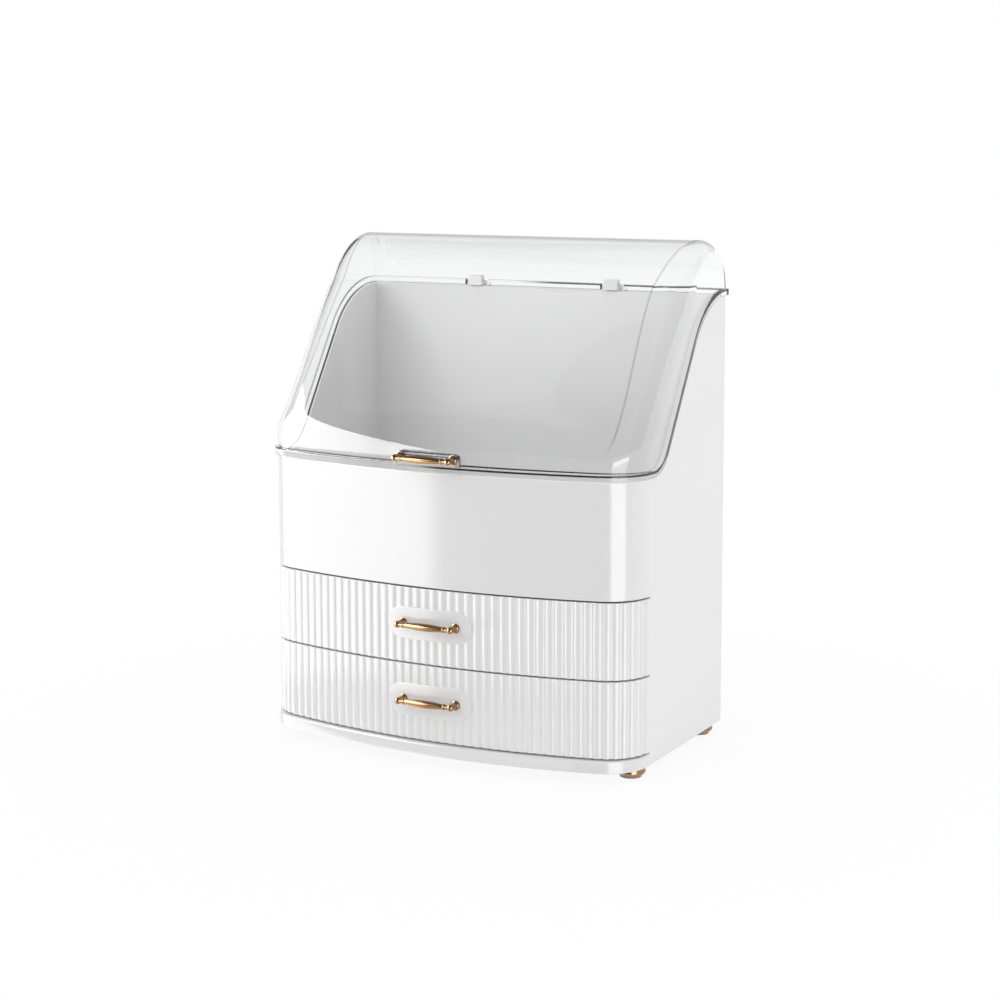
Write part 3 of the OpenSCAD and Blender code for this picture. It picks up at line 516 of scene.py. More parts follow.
def build_base():
    """The lip in front, and the deck with its skirt, drawer guides, ribs and foot bosses."""
    s = Shape()
    half = half_outline([LIP_END / 2, LIP_END])
    rings = []
    for x, y, nx, ny in half:
        if y <= LIP_END:
            rings.append([(x - nx * d, y - LIP_OUT - ny * d, z) for d, z in LIP])
    left = [[(-x, y, z) for x, y, z in r] for r in rings[:0:-1]]
    ids = s.grid(left + rings, around=True)
    s.cap(ids[0])
    s.cap(ids[-1])

    under = BASE_DECK_Z - DECK_T
    inner = HALF_W - WALL - BASE_GAP
    rear = SIDE_D - WALL - BASE_GAP
    deck = [(x - nx * DECK_IN, y - ny * DECK_IN) for x, y, nx, ny in half if y <= 0]
    deck = deck + [(inner, 1.0), (inner, rear)]
    deck = [(-x, y) for x, y in deck[::-1]] + deck[1:]
    s.prism(deck, lambda u, v, w: (u, v, w), under, BASE_DECK_Z)
    boss = [(1.5, 0.4), (1.9, 0.0), (BOSS_R - 0.4, 0.0), (BOSS_R, 0.4)]
    boss += [(r, under - BASE_Z + ROOT) for r in (BOSS_R, 1.5)]
    for side in (-1, 1):
        x = sorted((side * (inner - WALL), side * inner))
        s.box(*x, 0, rear - 0.1, BASE_Z, under + ROOT)
        x = sorted((side * GUIDE_XS[0], side * GUIDE_XS[1]))
        s.box(*x, *GUIDE_YS, BASE_DECK_Z - 0.3, BASE_DECK_Z + GUIDE_H)
        x = side * RIB_X - RIB_T / 2
        s.box(x, x + RIB_T, FRONT_Y + DECK_IN + 1, rear - 1, RIB_Z, under + ROOT)
        for y in FOOT_YS:
            s.lathe(boss, lambda u, v, h, c=side * FOOT_X, y=y: (c + u, y + v, BASE_Z + h), 32)
    s.box(-inner + 0.1, inner - 0.1, rear - WALL, rear, BASE_Z, under + ROOT)
    for y in RIB_YS:
        s.box(-inner + 1, inner - 1, y, y + RIB_T, RIB_Z, under + ROOT)
    make("base_moulding", s, "cabinet", "base_plate", "white_gloss")


# ------------------------------------------------------------------ feet and handles

FOOT_R = 10.9
FOOT_H = 7.5
FOOT_Z = 1.5
FOOT_ROUND = 3.0
FOOT_BORE = 1.75
FOOT_SINK = 3.5


def foot_outline():
    """The turned foot as (radius, height): pad recess, round belly, neck and screw hole."""
    pts = [(3.1, FOOT_SINK), (3.1, 0.5), (8.1, 0.5), (8.1, 0.15), (8.25, 0.0)]
    for i in range(11):
        a = pi / 2 * i / 10
        pts.append((FOOT_R - FOOT_ROUND * (1 - sin(a)), FOOT_ROUND * (1 - cos(a))))
    for d, drop in ((0.35, 2.3), (0.75, 1.2), (0.95, 0.6), (1.15, 0.12), (1.4, 0.0)):
        pts.append((FOOT_R - d, FOOT_H - drop))
    return pts + [(FOOT_BORE, FOOT_H), (FOOT_BORE, FOOT_SINK), (3.1, FOOT_SINK)]


def build_foot(name):
    lo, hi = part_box(name)
    cx = (lo.x + hi.x) / 2 / MM
    cy = (lo.y + hi.y) / 2 / MM + MID_Y
    s = Shape()
    s.lathe(foot_outline(), lambda u, v, w: (cx + u, cy + v, FOOT_Z + w), 64)
    make(name + "_turned", s, "cabinet", name, "rose_gold")


POST_X = 22.0
POST_FOOT_R = 3.7
REACH = 7.6
BAR_R = 2.9
BAR_TAPER = 1.05
NECK_R = 1.7
HEAD_R = 2.6
COLLAR_X = 16.0
COLLAR_W = 1.6
COLLAR_R = 1.9
COLLAR_EDGE = 0.35


def bar_outline():
    """Right half of the bar, as (radius, distance from the middle)."""
    pts = []
    for i in range(15):
        t = i / 14
        pts.append((BAR_R - BAR_TAPER * t**1.7, t * COLLAR_X))
    arc = [pi / 2 * i / 4 for i in range(5)]
    for a in arc:
        x = COLLAR_X + 0.05 + COLLAR_EDGE * (1 - cos(a))
        pts.append((COLLAR_R + COLLAR_EDGE * sin(a), x))
    for a in arc[::-1]:
        x = COLLAR_X + COLLAR_W - COLLAR_EDGE * (1 - cos(a))
        pts.append((COLLAR_R + COLLAR_EDGE * sin(a), x))
    pts += [(NECK_R + 0.12, COLLAR_X + COLLAR_W + 0.02), (NECK_R, COLLAR_X + COLLAR_W + 0.2)]
    a0 = asin(NECK_R / HEAD_R)
    pts.append((NECK_R, POST_X - HEAD_R * cos(a0) - 0.15))
    for i in range(15):
        a = a0 + (pi - a0) * i / 14
        pts.append((HEAD_R * sin(a), POST_X - HEAD_R * cos(a)))
    return pts


def post_outline():
    """A post as (radius, height): screw hole, foot plate, flare and stem."""
    pts = [(1.5, 0.4), (1.5, 0.0), (POST_FOOT_R - 0.15, 0.0), (POST_FOOT_R, 0.15)]
    pts.append((POST_FOOT_R, 0.5))
    for i in range(1, 10):
        a = pi / 2 * i / 9
        pts.append((POST_FOOT_R - 1.3 * sin(a), 0.5 + 1.6 * (1 - cos(a))))
    return pts + [(2.4, REACH - 0.9), (1.8, REACH)]


def build_handle(name, body, d, z):
    """A bar handle at the height z, on the bowed face that lies d inside the outline."""
    foot = face_y(d, POST_X - POST_FOOT_R) - 0.1
    bar = foot - REACH
    half = bar_outline()
    outline = [(r, -h) for r, h in half[:0:-1]] + half
    s = Shape()
    s.lathe(outline, lambda u, v, h: (h, bar + u, z + v))
    for side in (-1, 1):
        s.lathe(post_outline(), lambda u, v, h, c=side * POST_X: (c + u, foot - h, z + v))
    make(name + "_turned", s, body, name, "rose_gold")


# ------------------------------------------------------------------ drawer fronts

BOW_L = BOW_A * BOW_R
FRONT_L = BOW_L + (pi / 2 - BOW_A) * CORNER_R
FLUTES = 25
FLUTE_STEP = FRONT_L / FLUTES
FLUTE_SHARE = 0.86
FLUTE_HALF = FLUTE_STEP * FLUTE_SHARE / 2
FLUTE_H = 0.9
FLUTE_R = (FLUTE_HALF**2 + FLUTE_H**2) / (2 * FLUTE_H)
FRONT_T = 3.0
FRONT_END_GAP = 0.02
FRONT_EDGE = ((0.55, 0.0), (0.16, 0.16), (0.0, 0.55), (0.0, 1.0))
FIELD_L = 69.5
FIELD_H = 24.0
FIELD_PROUD = 0.5
FIELD = (
    (12.0, 1.3), (12.0, -0.05), (11.93, -0.28), (11.75, -0.43), (11.5, -FIELD_PROUD),
    (10.5, -FIELD_PROUD), (7.0, -FIELD_PROUD), (3.5, -FIELD_PROUD), (0.01, -FIELD_PROUD),
)
HANDLE_LIFT = 29.8


def front_point(s):
    """Point and outward normal of the outline at the distance s along the front."""
    if s < BOW_L:
        a = s / BOW_R
        return BOW_R * sin(a), BOW_Y - BOW_R * cos(a), sin(a), -cos(a)
    a = BOW_A + (s - BOW_L) / CORNER_R
    return CORNER_X + CORNER_R * sin(a), -CORNER_R * cos(a), sin(a), -cos(a)


def flute_stations():
    """Distance along the front and depth of the fluted face, right half."""
    out = [(0.0, FLUTE_H)]
    for k in range(FLUTES):
        mid = (k + 0.5) * FLUTE_STEP
        for i in range(13):
            u = FLUTE_HALF * sin(pi / 2 * (i / 6 - 1))
            out.append((mid + u, FLUTE_R - sqrt(FLUTE_R**2 - u * u)))
    # The last flute runs out flush with the side wall
    last = (FLUTES - 0.5) * FLUTE_STEP
    out = [p for p in out if p[0] <= last]
    out += [(mix(last, FRONT_L - FRONT_END_GAP, i / 4), 0.0) for i in range(1, 5)]
    return out


def stadium(straight, r):
    """A long round outline, clockwise from its upper right: x, z."""
    pts = []
    for side in (1, -1):
        for i in range(25):
            a = pi / 2 - pi * i / 24
            pts.append((side * (straight + r * cos(a)), side * r * sin(a)))
        for i in range(1, 12):
            pts.append((side * mix(straight, -straight, i / 12), -side * r))
    return pts


def build_front(name, body, z0):
    """A fluted drawer front whose lower edge is at z0, with its smooth field."""
    s = Shape()
    stations = flute_stations()
    stations = [(-d, t) for d, t in stations[:0:-1]] + stations
    z1 = z0 + FRONT_H
    rings = []
    for d, t in stations:
        x, y, nx, ny = front_point(abs(d))
        if d < 0:
            x, nx = -x, -nx
        ring = [(FRONT_T, z0)] + [(t + v, z0 + h) for v, h in FRONT_EDGE]
        ring += [(t + v, z1 - h) for v, h in FRONT_EDGE[::-1]] + [(FRONT_T, z1)]
        rings.append([(x - nx * v, y - ny * v, z) for v, z in ring])
    ids = s.grid(rings, around=True)
    s.cap(ids[0])
    s.cap(ids[-1])

    # The smooth field behind the handle: rings drawn in from its round outline
    cz = z0 + HANDLE_LIFT
    straight = (FIELD_L - FIELD_H) / 2
    rings = [[(x, face_y(d, x), cz + z) for x, z in stadium(straight, r)] for r, d in FIELD]
    s.grid(rings, around=True)
    make(name + "_reeded", s, body, name, "white_gloss", sharp=26.0)


# ------------------------------------------------------------------ lid

SEAT = 0.3
BEAD_H = 5.2
BEAD_OUT = 2.5
PAD_OUT = 2.8
LID_T = 2.0
RIM_Z = DECK_Z + SEAT
BEAD_Z = RIM_Z + BEAD_H
LIFT = SEAT + BEAD_H

# Side view: a low arc that stands upright at the bead, the leaning front, the round top
# and the round back
LOW_R = 56.0
LEAN = radians(41.5)
FLAT = 1.5
ROUND_D = 27.0
LOW_END = (FRONT_Y + LOW_R * (1 - cos(LEAN)), BEAD_Z + LOW_R * sin(LEAN))
LEAN_TOP_Y = LOW_END[0] + (TOP_Z - LOW_END[1]) * tan(LEAN)
ROUND_Y = SIDE_D - ROUND_D
ROUND_H = TOP_Z - REAR_Z - LIFT
TURN_Y = ROUND_Y - FLAT
TURN_R = (TURN_Y - LEAN_TOP_Y) / tan((pi / 2 - LEAN) / 2)
TURN_START = (TURN_Y - TURN_R * cos(LEAN), TOP_Z - TURN_R * (1 - sin(LEAN)))

# Corner radii, the share of the bow that is left where the leaning front ends, the
# share of the side rim that each stretch of the side view has passed at its end, and
# how far before the rear rounding the side rim ends
EDGE_R = 25.0
TOP_EDGE_R = 12.0
TOP_BOW = 0.35
LOW_SHARE, LEAN_SHARE, TURN_SHARE = 0.04, 0.72, 0.90
RIM_END = 3.0

# Rows of the low arc by height over the bead, close at the foot and at the pad's edge,
# and the rows that get the painted dark line of shade along the foot
FOOT_LEVELS = [0, 0.35, 0.6, 1.1, 1.6, 1.85, 2.3, 3.1, 4.4, 5.6]
PAD_LEVELS = [6.2, 6.7, 7.2, 7.7, 8.1, 8.5, 8.9, 9.3, 9.7, 10.2, 11.5]
FOOT_ROWS = (2, 3, 4)
SPAN_STEPS = 24

# Columns over half the bow, which is COLUMN_L long: some by their distance from the pad's
# edge, the rest by their share of that length, with a close pair at each side of a hinge
# cut. Then steps round the corner, and shares of the way along the side wall
COLUMN_L = 129.1
PAD_COLUMNS = (-6, -4.4, -3.0, -2.1, -1.5, -1.0, -0.6, -0.2, 0.3, 1.2)
WIDE_COLUMNS = [0.27, 0.30, 0.3276, 0.3290, 0.36, 0.40, 0.43, 0.4605, 0.4619, 0.50]
WIDE_COLUMNS += [0.56, 0.62, 0.68, 0.74, 0.80, 0.86, 0.92, 0.96, 0.99, 1.0]
CORNER_COLUMNS = (0.4, *range(1, 15))
SIDE_COLUMNS = (0.04, 0.15, 0.45, 1.0)

# Handle pad
PAD_HALF = 29.0
PAD_SLANT = 3.5
PAD_H = 14.7
PAD_TOP = RIM_Z + PAD_H
PAD_ROUND = 4.0
PAD_SOFT = 1.5
PAD_FRONT_Y = -30.0
# Band inside the pad's outline that gets a painted dark line of shade
PAD_LINE = (2.0, 3.1)

LID_HANDLE_Z = 230.1

# Hinge cuts in the rear rim: their half width, where they start, and the height, depth
# and reach of what is left of the bead there
CUT_HALF = 10.12
CUT_FROM_Y = 120.0
CUT_LOW = 4.7
CUT_H = 0.8
CUT_OUT = 0.35

# Heights where the painted dark line along a corner's crease starts to show and where it is full,
# and how many rows before the rear rim it ends
CREASE = (238.0, 250.0)
CREASE_END = 12


def lid_stations():
    """y, z, angle of the outward normal, share of the bow, corner radius, place on the rim."""
    out = []
    turns = [asin(v / LOW_R) / LEAN for v in FOOT_LEVELS + PAD_LEVELS]
    turns += [mix(turns[-1], 1.0, i / 12) for i in range(1, 13)]
    for t in turns:
        a = LEAN * t
        y, z = FRONT_Y + LOW_R * (1 - cos(a)), BEAD_Z + LOW_R * sin(a)
        out.append((y, z, a, 1.0, mix(CORNER_R, EDGE_R, ease(t)), LOW_SHARE * t))
    spans = [i / SPAN_STEPS for i in range(1, SPAN_STEPS + 1)]
    for t in spans:
        y, z = mix(LOW_END[0], TURN_START[0], t), mix(LOW_END[1], TURN_START[1], t)
        share = mix(LOW_SHARE, LEAN_SHARE, t)
        out.append((y, z, LEAN, mix(1, TOP_BOW, ease(t)), EDGE_R, share))
    for t in spans:
        a = mix(LEAN, pi / 2, t)
        y, z = TURN_Y - TURN_R * cos(a), TOP_Z - TURN_R * (1 - sin(a))
        r, share = mix(EDGE_R, TOP_EDGE_R, t), mix(LEAN_SHARE, TURN_SHARE, t)
        out.append((y, z, a, TOP_BOW * (1 - ease(t)), r, share))
    for t in spans:
        a = pi / 2 * t
        y, z = ROUND_Y + ROUND_D * sin(a), TOP_Z - ROUND_H * (1 - cos(a))
        turn = pi / 2 + atan2(sin(a) / ROUND_D, cos(a) / ROUND_H)
        out.append((y, z, turn, 0.0, mix(TOP_EDGE_R, REAR_R, ease(t)), mix(TURN_SHARE, 1, t)))
    return out


def pad_half(z):
    """Half width of the handle pad at a height."""
    return PAD_HALF - PAD_SLANT * (z - RIM_Z) / PAD_H


def lid_columns(z):
    """Places across the bow, 0 in the middle and 1 where the corner starts."""
    pad = pad_half(min(max(z, RIM_Z), PAD_TOP))
    e = mix(pad, PAD_HALF, step(PAD_TOP + 6, PAD_TOP + 30, z)) / COLUMN_L
    cols = [e * t for t in (0, 0.2, 0.4, 0.6)]
    cols += [e + v / COLUMN_L for v in PAD_COLUMNS]
    return cols + WIDE_COLUMNS


def low_point(a, off=0.0):
    """y and z on the low arc of the side rim, lifted by off."""
    r = SWEEP_LOW_R - off
    return LOW_C[0] + r * sin(a), LOW_C[1] - r * cos(a)


def high_point(a, off=0.0):
    """y and z on the high arc of the side rim, lifted by off."""
    r = SWEEP_HIGH_R + off
    return HIGH_C[0] - r * sin(a), HIGH_C[1] + r * cos(a)


def rim_point(off, u):
    """y and z at the place u along the side rim, lifted by off."""
    (ay, az), (by, bz) = low_point(SWEEP_A), high_point(SWEEP_A)
    line = hypot(by - ay, bz - az)
    low, high = SWEEP_LOW_R * SWEEP_A, SWEEP_HIGH_R * SWEEP_A
    total = low + line + high + (SIDE_D - REAR_R - RIM_END) - HIGH_C[0]
    s = u * total
    if s <= low:
        return low_point(SWEEP_A * s / low, off)
    if s <= low + line:
        p, q = low_point(SWEEP_A, off), high_point(SWEEP_A, off)
        t = (s - low) / line
        return mix(p[0], q[0], t), mix(p[1], q[1], t)
    return high_point(SWEEP_A * max(1 - (s - low - line) / high, 0), off)


def lid_row(st, t, off, cols):
    """One cross row of the lid, t inside its outer face, and the turn of each column."""
    y0, z0, a, share, r, u = st
    n = (cos(a), -sin(a))
    y0, z0 = y0 + n[0] * t, z0 + n[1] * t
    half = HALF_W - t
    r = max(r - t, 1)
    big = BOW_R / max(share, 0.002)
    cx = half - r
    a0 = asin(cx / (big - r))
    cd = big - sqrt((big - r) ** 2 - cx * cx)
    h = [(big * sin(a0 * c), big * (1 - cos(a0 * c)), a0 * c) for c in cols]
    for i in CORNER_COLUMNS:
        b = mix(a0, pi / 2, i / CORNER_COLUMNS[-1])
        h.append((cx + r * sin(b), cd - r * cos(b), b))
    right = [(x, y0 + n[0] * q, z0 + n[1] * q) for x, q, _ in h]
    end = right[-1]
    rim = rim_point(off, u)
    for w in SIDE_COLUMNS:
        right.append((half, mix(end[1], rim[0], w), mix(end[2], rim[1], w)))
    row = [(-x, y, z) for x, y, z in right[:0:-1]] + right
    turns = [b for _, _, b in h]
    turns = [-b for b in turns[:0:-1]] + turns
    return row, turns


def pad_inset(x, z):
    """Distance inside the rounded outline of the handle pad."""
    dx = pad_half(z) - abs(x)
    dz = PAD_TOP - z
    if dx < PAD_ROUND and dz < PAD_ROUND:
        return PAD_ROUND - hypot(PAD_ROUND - dx, PAD_ROUND - dz)
    return min(dx, dz)


def pad_weight(x, y, z):
    """1 on the handle pad, 0 off it, with a soft rounded edge."""
    if y >= PAD_FRONT_Y or z > PAD_TOP + 0.5:
        return 0.0
    return step(0.0, PAD_SOFT, pad_inset(x, z))


def on_pad(p):
    x, y, z = p
    w = pad_weight(x, y, z)
    return (x, mix(y, face_y(-PAD_OUT, x), w), z) if w > 0 else p


def hinge_cut(x, y):
    """True where the rear rim is cut out for a hinge."""
    return y > CUT_FROM_Y and abs(abs(x) - HINGE_X) < CUT_HALF


def painted_shade_weight(x, y, z, on_foot, on_crease):
    """Painted shade: dark lines along the foot of the wall, round the pad and along the corner
    crease, standing in for refracted shade.
    """
    w = pad_weight(x, y, z)
    painted_shade = min(6 * w * (1 - w), 1.0)
    if on_foot:
        painted_shade = max(painted_shade, 1 - w)
    if w == 1 and PAD_LINE[0] < pad_inset(x, z) < PAD_LINE[1]:
        painted_shade = max(painted_shade, 0.9)
    if on_crease:
        painted_shade = max(painted_shade, 0.6 * step(*CREASE, z))
    return painted_shade


def rim_profile():
    """Section of the bead, as (distance outward, height over the housing's rim)."""
    top, foot = BEAD_OUT - 1.0, BEAD_OUT - 0.8
    pts = [(0.5, LIFT), (top, LIFT)]
    for v in (22, 45, 67, 90):
        a = radians(v)
        pts.append((top + sin(a), LIFT - 1 + cos(a)))
    pts += [(BEAD_OUT, 4.0), (BEAD_OUT, 3.7), (BEAD_OUT, 3.4)]
    for v in (0, 30, 60, 90):
        a = radians(v)
        pts.append((foot + 0.8 * cos(a), SEAT + 0.8 * (1 - sin(a))))
    return pts + [(-1.3, SEAT)]


def build_lid():
    """Outer and inner face of the lid, joined by the bead all round its rim."""
    s = Shape()
    stations = lid_stations()
    last = len(stations) - 1
    side_n = len(SIDE_COLUMNS)
    outer, inner, turns = [], [], []
    for i, st in enumerate(stations):
        cols = lid_columns(st[1])
        row, turn = lid_row(st, 0, LIFT, cols)
        outer.append([on_pad(p) for p in row])
        turns.append(turn)
        if i in (0, last):
            drop = (st[0], st[1] - BEAD_H, *st[2:])
            row, _ = lid_row(drop, LID_T, SEAT, cols)
            row = [(x, y, z + (CUT_LOW - SEAT if hinge_cut(x, y) else 0)) for x, y, z in row]
        else:
            row, _ = lid_row(st, LID_T, SEAT, cols)
        inner.append(row)
    out_ids = s.grid(outer)
    in_ids = s.grid(inner)
    c = len(outer[0]) - 1
    crease = c - side_n - len(CORNER_COLUMNS)
    # Painted shade: dark lines along the foot rows, round the pad and along the corner creases
    for i, ids in enumerate(out_ids):
        for j, k in enumerate(ids):
            on_crease = j in (crease, c - crease) and i < last - CREASE_END
            painted_shade = painted_shade_weight(*outer[i][j], i in FOOT_ROWS, on_crease)
            if painted_shade:
                s.edge[k] = painted_shade

    # The rim loop: for every point of the boundary its outward direction
    def end_dirs(bends, sign):
        mid = [(sin(b), sign * cos(b)) for b in bends]
        return [(-1.0, 0.0)] * side_n + mid + [(1.0, 0.0)] * side_n

    back = end_dirs(turns[last], 1)
    loop = [(0, j, d) for j, d in enumerate(end_dirs(turns[0], -1))]
    loop += [(i, c, (1.0, 0.0)) for i in range(1, last)]
    loop += [(last, j, back[j]) for j in range(c, -1, -1)]
    loop += [(i, 0, (-1.0, 0.0)) for i in range(last - 1, 0, -1)]

    def rim_at(i, j, d, o, h):
        """The point of the bead's section (o, h) at a point of the loop."""
        st = stations[i]
        if i in (0, last):
            x, y, z = lid_row(st, 0, LIFT, lid_columns(st[1]))[0][j]
            if side_n <= j <= c - side_n:
                z = z - (LIFT - h)
            else:
                w = SIDE_COLUMNS[(side_n - j if j < side_n else j - c + side_n) - 1]
                end = lid_row(st, 0, 0, [0, 1])[0][-1 - side_n]
                rim = rim_point(h, st[5])
                y = mix(end[1], rim[0], w)
                z = mix(end[2] - (LIFT - h), rim[1], w)
        else:
            x = outer[i][j][0]
            y, z = rim_point(h, st[5])
        if hinge_cut(x, y):
            o = min(o, CUT_OUT)
            z = z + CUT_LOW + (h - SEAT) * CUT_H / BEAD_H - h
        p = (x + d[0] * o, y + d[1] * o, z)
        return on_pad(p) if o > -0.5 else p

    rings = [[out_ids[i][j] for i, j, _ in loop]]
    for o, h in rim_profile():
        ids = s.add([rim_at(i, j, d, o, h) for i, j, d in loop])
        # The top of the bead's outer face gets painted shade too: a dark line, faint on the left
        # and full from the middle rightwards
        if o > BEAD_OUT - 0.2 and h > 3.5:
            s.edge.update((k, mix(0.15, 1.0, step(-30, 5, s.points[k][0]))) for k in ids)
        rings.append(ids)
    rings.append([in_ids[i][j] for i, j, _ in loop])
    s.bridge(rings, around=True)
    lid = make("lid_moulding", s, "lid", "lid", "clear_lid", sharp=38.0)
    lid.visible_shadow = False
    lid.visible_diffuse = False


# ------------------------------------------------------------------ assembly

build_housing()
build_base()
for foot in ("foot_front_left", "foot_front_right", "foot_rear_left", "foot_rear_right"):
    build_foot(foot)
build_front("upper_drawer_front", "upper_drawer", UPPER_Z)
build_front("lower_drawer_front", "lower_drawer", LOWER_Z)
build_handle("upper_drawer_handle", "upper_drawer", -FIELD_PROUD, UPPER_Z + HANDLE_LIFT)
build_handle("lower_drawer_handle", "lower_drawer", -FIELD_PROUD, LOWER_Z + HANDLE_LIFT)
build_handle("lid_handle", "lid", -PAD_OUT, LID_HANDLE_Z)
build_lid()

SHOWN = {
    "drawer_shelf": "white_inner",
    "compartment_floor": "white_gloss",
    "base_screws": "steel",
    "foot_pads": "pad_rubber",
    "foot_screws": "steel",
    "hinge_pin_left": "steel",
    "hinge_pin_right": "steel",
    "hinge_clip_left": "white_inner",
    "hinge_clip_right": "white_inner",
    "lid_handle_screws": "steel",
    "upper_drawer_box": "white_inner",
    "upper_drawer_screws": "steel",
    "lower_drawer_box": "white_inner",
    "lower_drawer_screws": "steel",
}
for name, slot in SHOWN.items():
    obj = nodes[name]
    obj.data.materials.clear()
    obj.data.materials.append(SLOTS[slot])

# ------------------------------------------------------------------ stage

AMBIENT = (0.74, 0.74, 0.745)
NEAR_WHITE, FAR_WHITE = 0.92, 1.0
WHITE_FROM, WHITE_TO = 0.2, 0.5
FLOOR_HALF = 30.0

# The softboxes stand upright on these lines, cut in two at SPLIT_Z
LEFT_REAR, LEFT_FRONT = (-0.2595, -0.06), (-0.318, -0.76)
RIGHT_FRONT, RIGHT_REAR = (0.387, -0.447), (0.565, -0.224)
CARD_FOOT, SPLIT_Z, LEFT_TOP, RIGHT_TOP = -0.4, 0.22, 0.358, 0.28

# The flags and the ceiling form a room of this half width
ROOM = 1.3
ROOM_TOP = 1.4
FLAG_Z = 0.6


def emitter(name, strength, fade=0.0):
    """A glowing card. fade is the share of its depth over which the front end dies away."""
    m, t, out = new_material(name)
    e = node(t, "ShaderNodeEmission", Strength=strength)
    t.links.new(e.outputs[0], out.inputs["Surface"])
    if fade:
        where = node(t, "ShaderNodeTexCoord")
        split = node(t, "ShaderNodeSeparateXYZ")
        level = node(t, "ShaderNodeMapRange", interpolation_type="SMOOTHSTEP")
        level.inputs["From Max"].default_value = fade
        level.inputs["To Max"].default_value = strength
        t.links.new(where.outputs["Generated"], split.inputs[0])
        t.links.new(split.outputs["Y"], level.inputs["Value"])
        t.links.new(level.outputs["Result"], e.inputs["Strength"])
    return m


def card(name, corners, material, see_through=False):
    """A flat card: a softbox seen in reflections, or a flag. It lights nothing."""
    mesh = bpy.data.meshes.new(name)
    mesh.from_pydata(corners, [], [(0, 1, 2, 3)])
    mesh.materials.append(material)
    obj = bpy.data.objects.new(name, mesh)
    bpy.context.scene.collection.objects.link(obj)
    obj.visible_camera = False
    obj.visible_diffuse = False
    obj.visible_shadow = False
    obj.visible_transmission = see_through


def upright(name, a, b, z0, z1, material, see_through=False):
    card(name, [(*a, z0), (*b, z0), (*b, z1), (*a, z1)], material, see_through)


def flat(name, x0, x1, y0, y1, z, material, see_through=False):
    card(name, [(x0, y0, z), (x1, y0, z), (x1, y1, z), (x0, y1, z)], material, see_through)


def lamp(name, centre, target, size, size_y, power):
    """A soft lamp that no reflection shows."""
    data = bpy.data.lights.new(name, "AREA")
    data.shape = "RECTANGLE"
    data.size, data.size_y = size, size_y
    data.energy = power
    obj = bpy.data.objects.new(name, data)
    bpy.context.scene.collection.objects.link(obj)
    obj.location = centre
    obj.rotation_mode = "QUATERNION"
    obj.rotation_quaternion = (Vector(target) - Vector(centre)).to_track_quat("-Z", "Y")
    obj.visible_camera = False
    obj.visible_glossy = False
    obj.visible_transmission = False


def straight_rays(tree):
    """1 for camera, glossy and transmission rays, which see the background white."""
    path = node(tree, "ShaderNodeLightPath")
    seen = node(tree, "ShaderNodeMath", operation="MAXIMUM")
    seen_2 = node(tree, "ShaderNodeMath", operation="MAXIMUM")
    tree.links.new(path.outputs["Is Camera Ray"], seen.inputs[0])
    tree.links.new(path.outputs["Is Glossy Ray"], seen.inputs[1])
    tree.links.new(seen.outputs[0], seen_2.inputs[0])
    tree.links.new(path.outputs["Is Transmission Ray"], seen_2.inputs[1])
    return seen_2.outputs[0]


def build_floor():
    """White paper that takes the shadow near the object and turns plain white further off."""
    f = FLOOR_HALF
    mesh = bpy.data.meshes.new("floor")
    mesh.from_pydata([(-f, -f, 0), (f, -f, 0), (f, f, 0), (-f, f, 0)], [], [(0, 1, 2, 3)])
    m, t, out = new_material("floor_white")
    link = t.links.new
    paper = node(t, "ShaderNodeBsdfDiffuse", Color=(0.92, 0.92, 0.92, 1))
    white = node(t, "ShaderNodeEmission", Strength=1.0)
    where = node(t, "ShaderNodeTexCoord")
    length = node(t, "ShaderNodeVectorMath", operation="LENGTH")
    far = node(t, "ShaderNodeMapRange")
    far.inputs["From Min"].default_value = WHITE_FROM
    far.inputs["From Max"].default_value = WHITE_TO
    far.inputs["To Min"].default_value = NEAR_WHITE
    far.inputs["To Max"].default_value = FAR_WHITE
    amount = node(t, "ShaderNodeMath", operation="MULTIPLY")
    both = node(t, "ShaderNodeMixShader")
    link(where.outputs["Object"], length.inputs[0])
    link(length.outputs["Value"], far.inputs["Value"])
    link(straight_rays(t), amount.inputs[0])
    link(far.outputs["Result"], amount.inputs[1])
    link(amount.outputs[0], both.inputs["Fac"])
    link(paper.outputs[0], both.inputs[1])
    link(white.outputs[0], both.inputs[2])
    link(both.outputs[0], out.inputs["Surface"])
    mesh.materials.append(m)
    obj = bpy.data.objects.new("floor", mesh)
    bpy.context.scene.collection.objects.link(obj)
    obj.visible_glossy = False


def build_world():
    w = bpy.data.worlds.new("studio")
    bpy.context.scene.world = w
    w.use_nodes = True
    t = w.node_tree
    t.nodes.clear()
    link = t.links.new
    out = node(t, "ShaderNodeOutputWorld")
    soft = node(t, "ShaderNodeBackground", Color=(*AMBIENT, 1), Strength=1.0)
    white = node(t, "ShaderNodeBackground", Color=(1, 1, 1, 1), Strength=1.0)
    both = node(t, "ShaderNodeMixShader")
    link(straight_rays(t), both.inputs["Fac"])
    link(soft.outputs[0], both.inputs[1])
    link(white.outputs[0], both.inputs[2])
    link(both.outputs[0], out.inputs["Surface"])


build_floor()
build_world()
lamp("key", (-1.6, -1.9, 1.5), (0, 0, 0.2), 1.6, 1.6, 15.0)
lamp("top", (0.1, 0.1, 2.0), (0, 0, 0.2), 1.8, 1.6, 5.0)
lamp("side", (1.6, 0.25, 0.16), (0.15, 0.02, 0.16), 0.9, 0.24, 4.0)

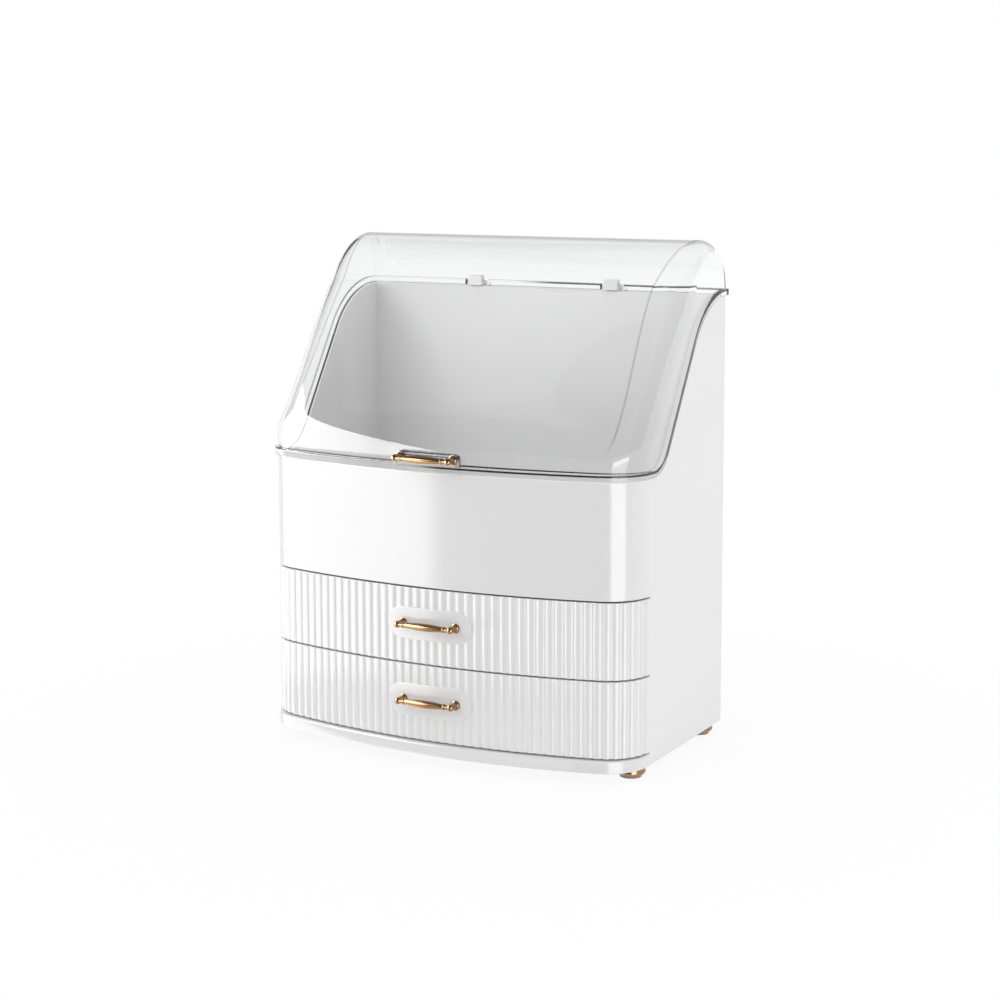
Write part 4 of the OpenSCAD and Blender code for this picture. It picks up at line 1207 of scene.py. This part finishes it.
for name, a, b, z0, z1, material in (
    ("softbox_left_low", LEFT_REAR, LEFT_FRONT, CARD_FOOT, SPLIT_Z,
     emitter("glow_left_low", 4.2, fade=0.27)),
    ("softbox_left_high", LEFT_REAR, LEFT_FRONT, SPLIT_Z, LEFT_TOP,
     emitter("glow_left_high", 12.0)),
    ("softbox_right_low", RIGHT_FRONT, RIGHT_REAR, CARD_FOOT, SPLIT_Z,
     emitter("glow_right_low", 4.5)),
    ("softbox_right_high", RIGHT_FRONT, RIGHT_REAR, SPLIT_Z, RIGHT_TOP,
     emitter("glow_right_high", 10.0)),
):
    upright(name, a, b, z0, z1, material)

dark = emitter("dark_card", 0.1)
dim = emitter("dim_card", 0.4)
pale = emitter("pale_card", 0.62)
flat("near_floor", -0.30, 0.11, -0.25, -0.11, 0.002, emitter("near_floor", 1.0))
flat("ceiling_rear", -ROOM, ROOM, -0.5, ROOM, ROOM_TOP, dim, see_through=True)
flat("ceiling_front", -ROOM, ROOM, -ROOM, -0.5, ROOM_TOP, dark, see_through=True)
upright("flag_low", (-0.75, -ROOM), (0.80, -ROOM), -FLAG_Z, FLAG_Z, dark)
for name, a, b, material in (
    ("flag_front", (-ROOM, -ROOM), (ROOM, -ROOM), dark),
    ("flag_left", (-ROOM, ROOM), (-ROOM, -ROOM), dark),
    ("flag_right", (ROOM, -ROOM), (ROOM, ROOM), dark),
    ("flag_rear", (ROOM, ROOM), (-ROOM, ROOM), pale),
):
    upright(name, a, b, FLAG_Z, ROOM_TOP, material, see_through=True)

# ------------------------------------------------------------------ camera

# Solved from the photo, in millimetres from the seam, with the picture 1000 pixels wide
YAW, PITCH, ROLL = 0.48606619, 0.12583536, -0.00128044
CAMERA_AT = (764.9924, -1384.6892, 466.8873)
FOCAL_PIXELS = 2150.7183
SENSOR_W = 36.0

cam = bpy.data.cameras.new("camera")
cam_obj = bpy.data.objects.new("camera", cam)
bpy.context.scene.collection.objects.link(cam_obj)
way = Vector((-sin(YAW) * cos(PITCH), cos(YAW) * cos(PITCH), -sin(PITCH)))
cam_obj.location = (CAMERA_AT[0] * MM, (CAMERA_AT[1] - MID_Y) * MM, CAMERA_AT[2] * MM)
cam_obj.rotation_mode = "QUATERNION"
cam_obj.rotation_quaternion = (
    way.to_track_quat("-Z", "Y").to_matrix() @ Matrix.Rotation(ROLL, 3, "Z")
).to_quaternion()
cam.sensor_width = SENSOR_W
cam.lens = FOCAL_PIXELS * SENSOR_W / 1000.0
cam.shift_y = -0.1
cam.clip_start, cam.clip_end = 0.05, 100.0
bpy.context.scene.camera = cam_obj
bpy.context.scene.view_settings.view_transform = "Standard"
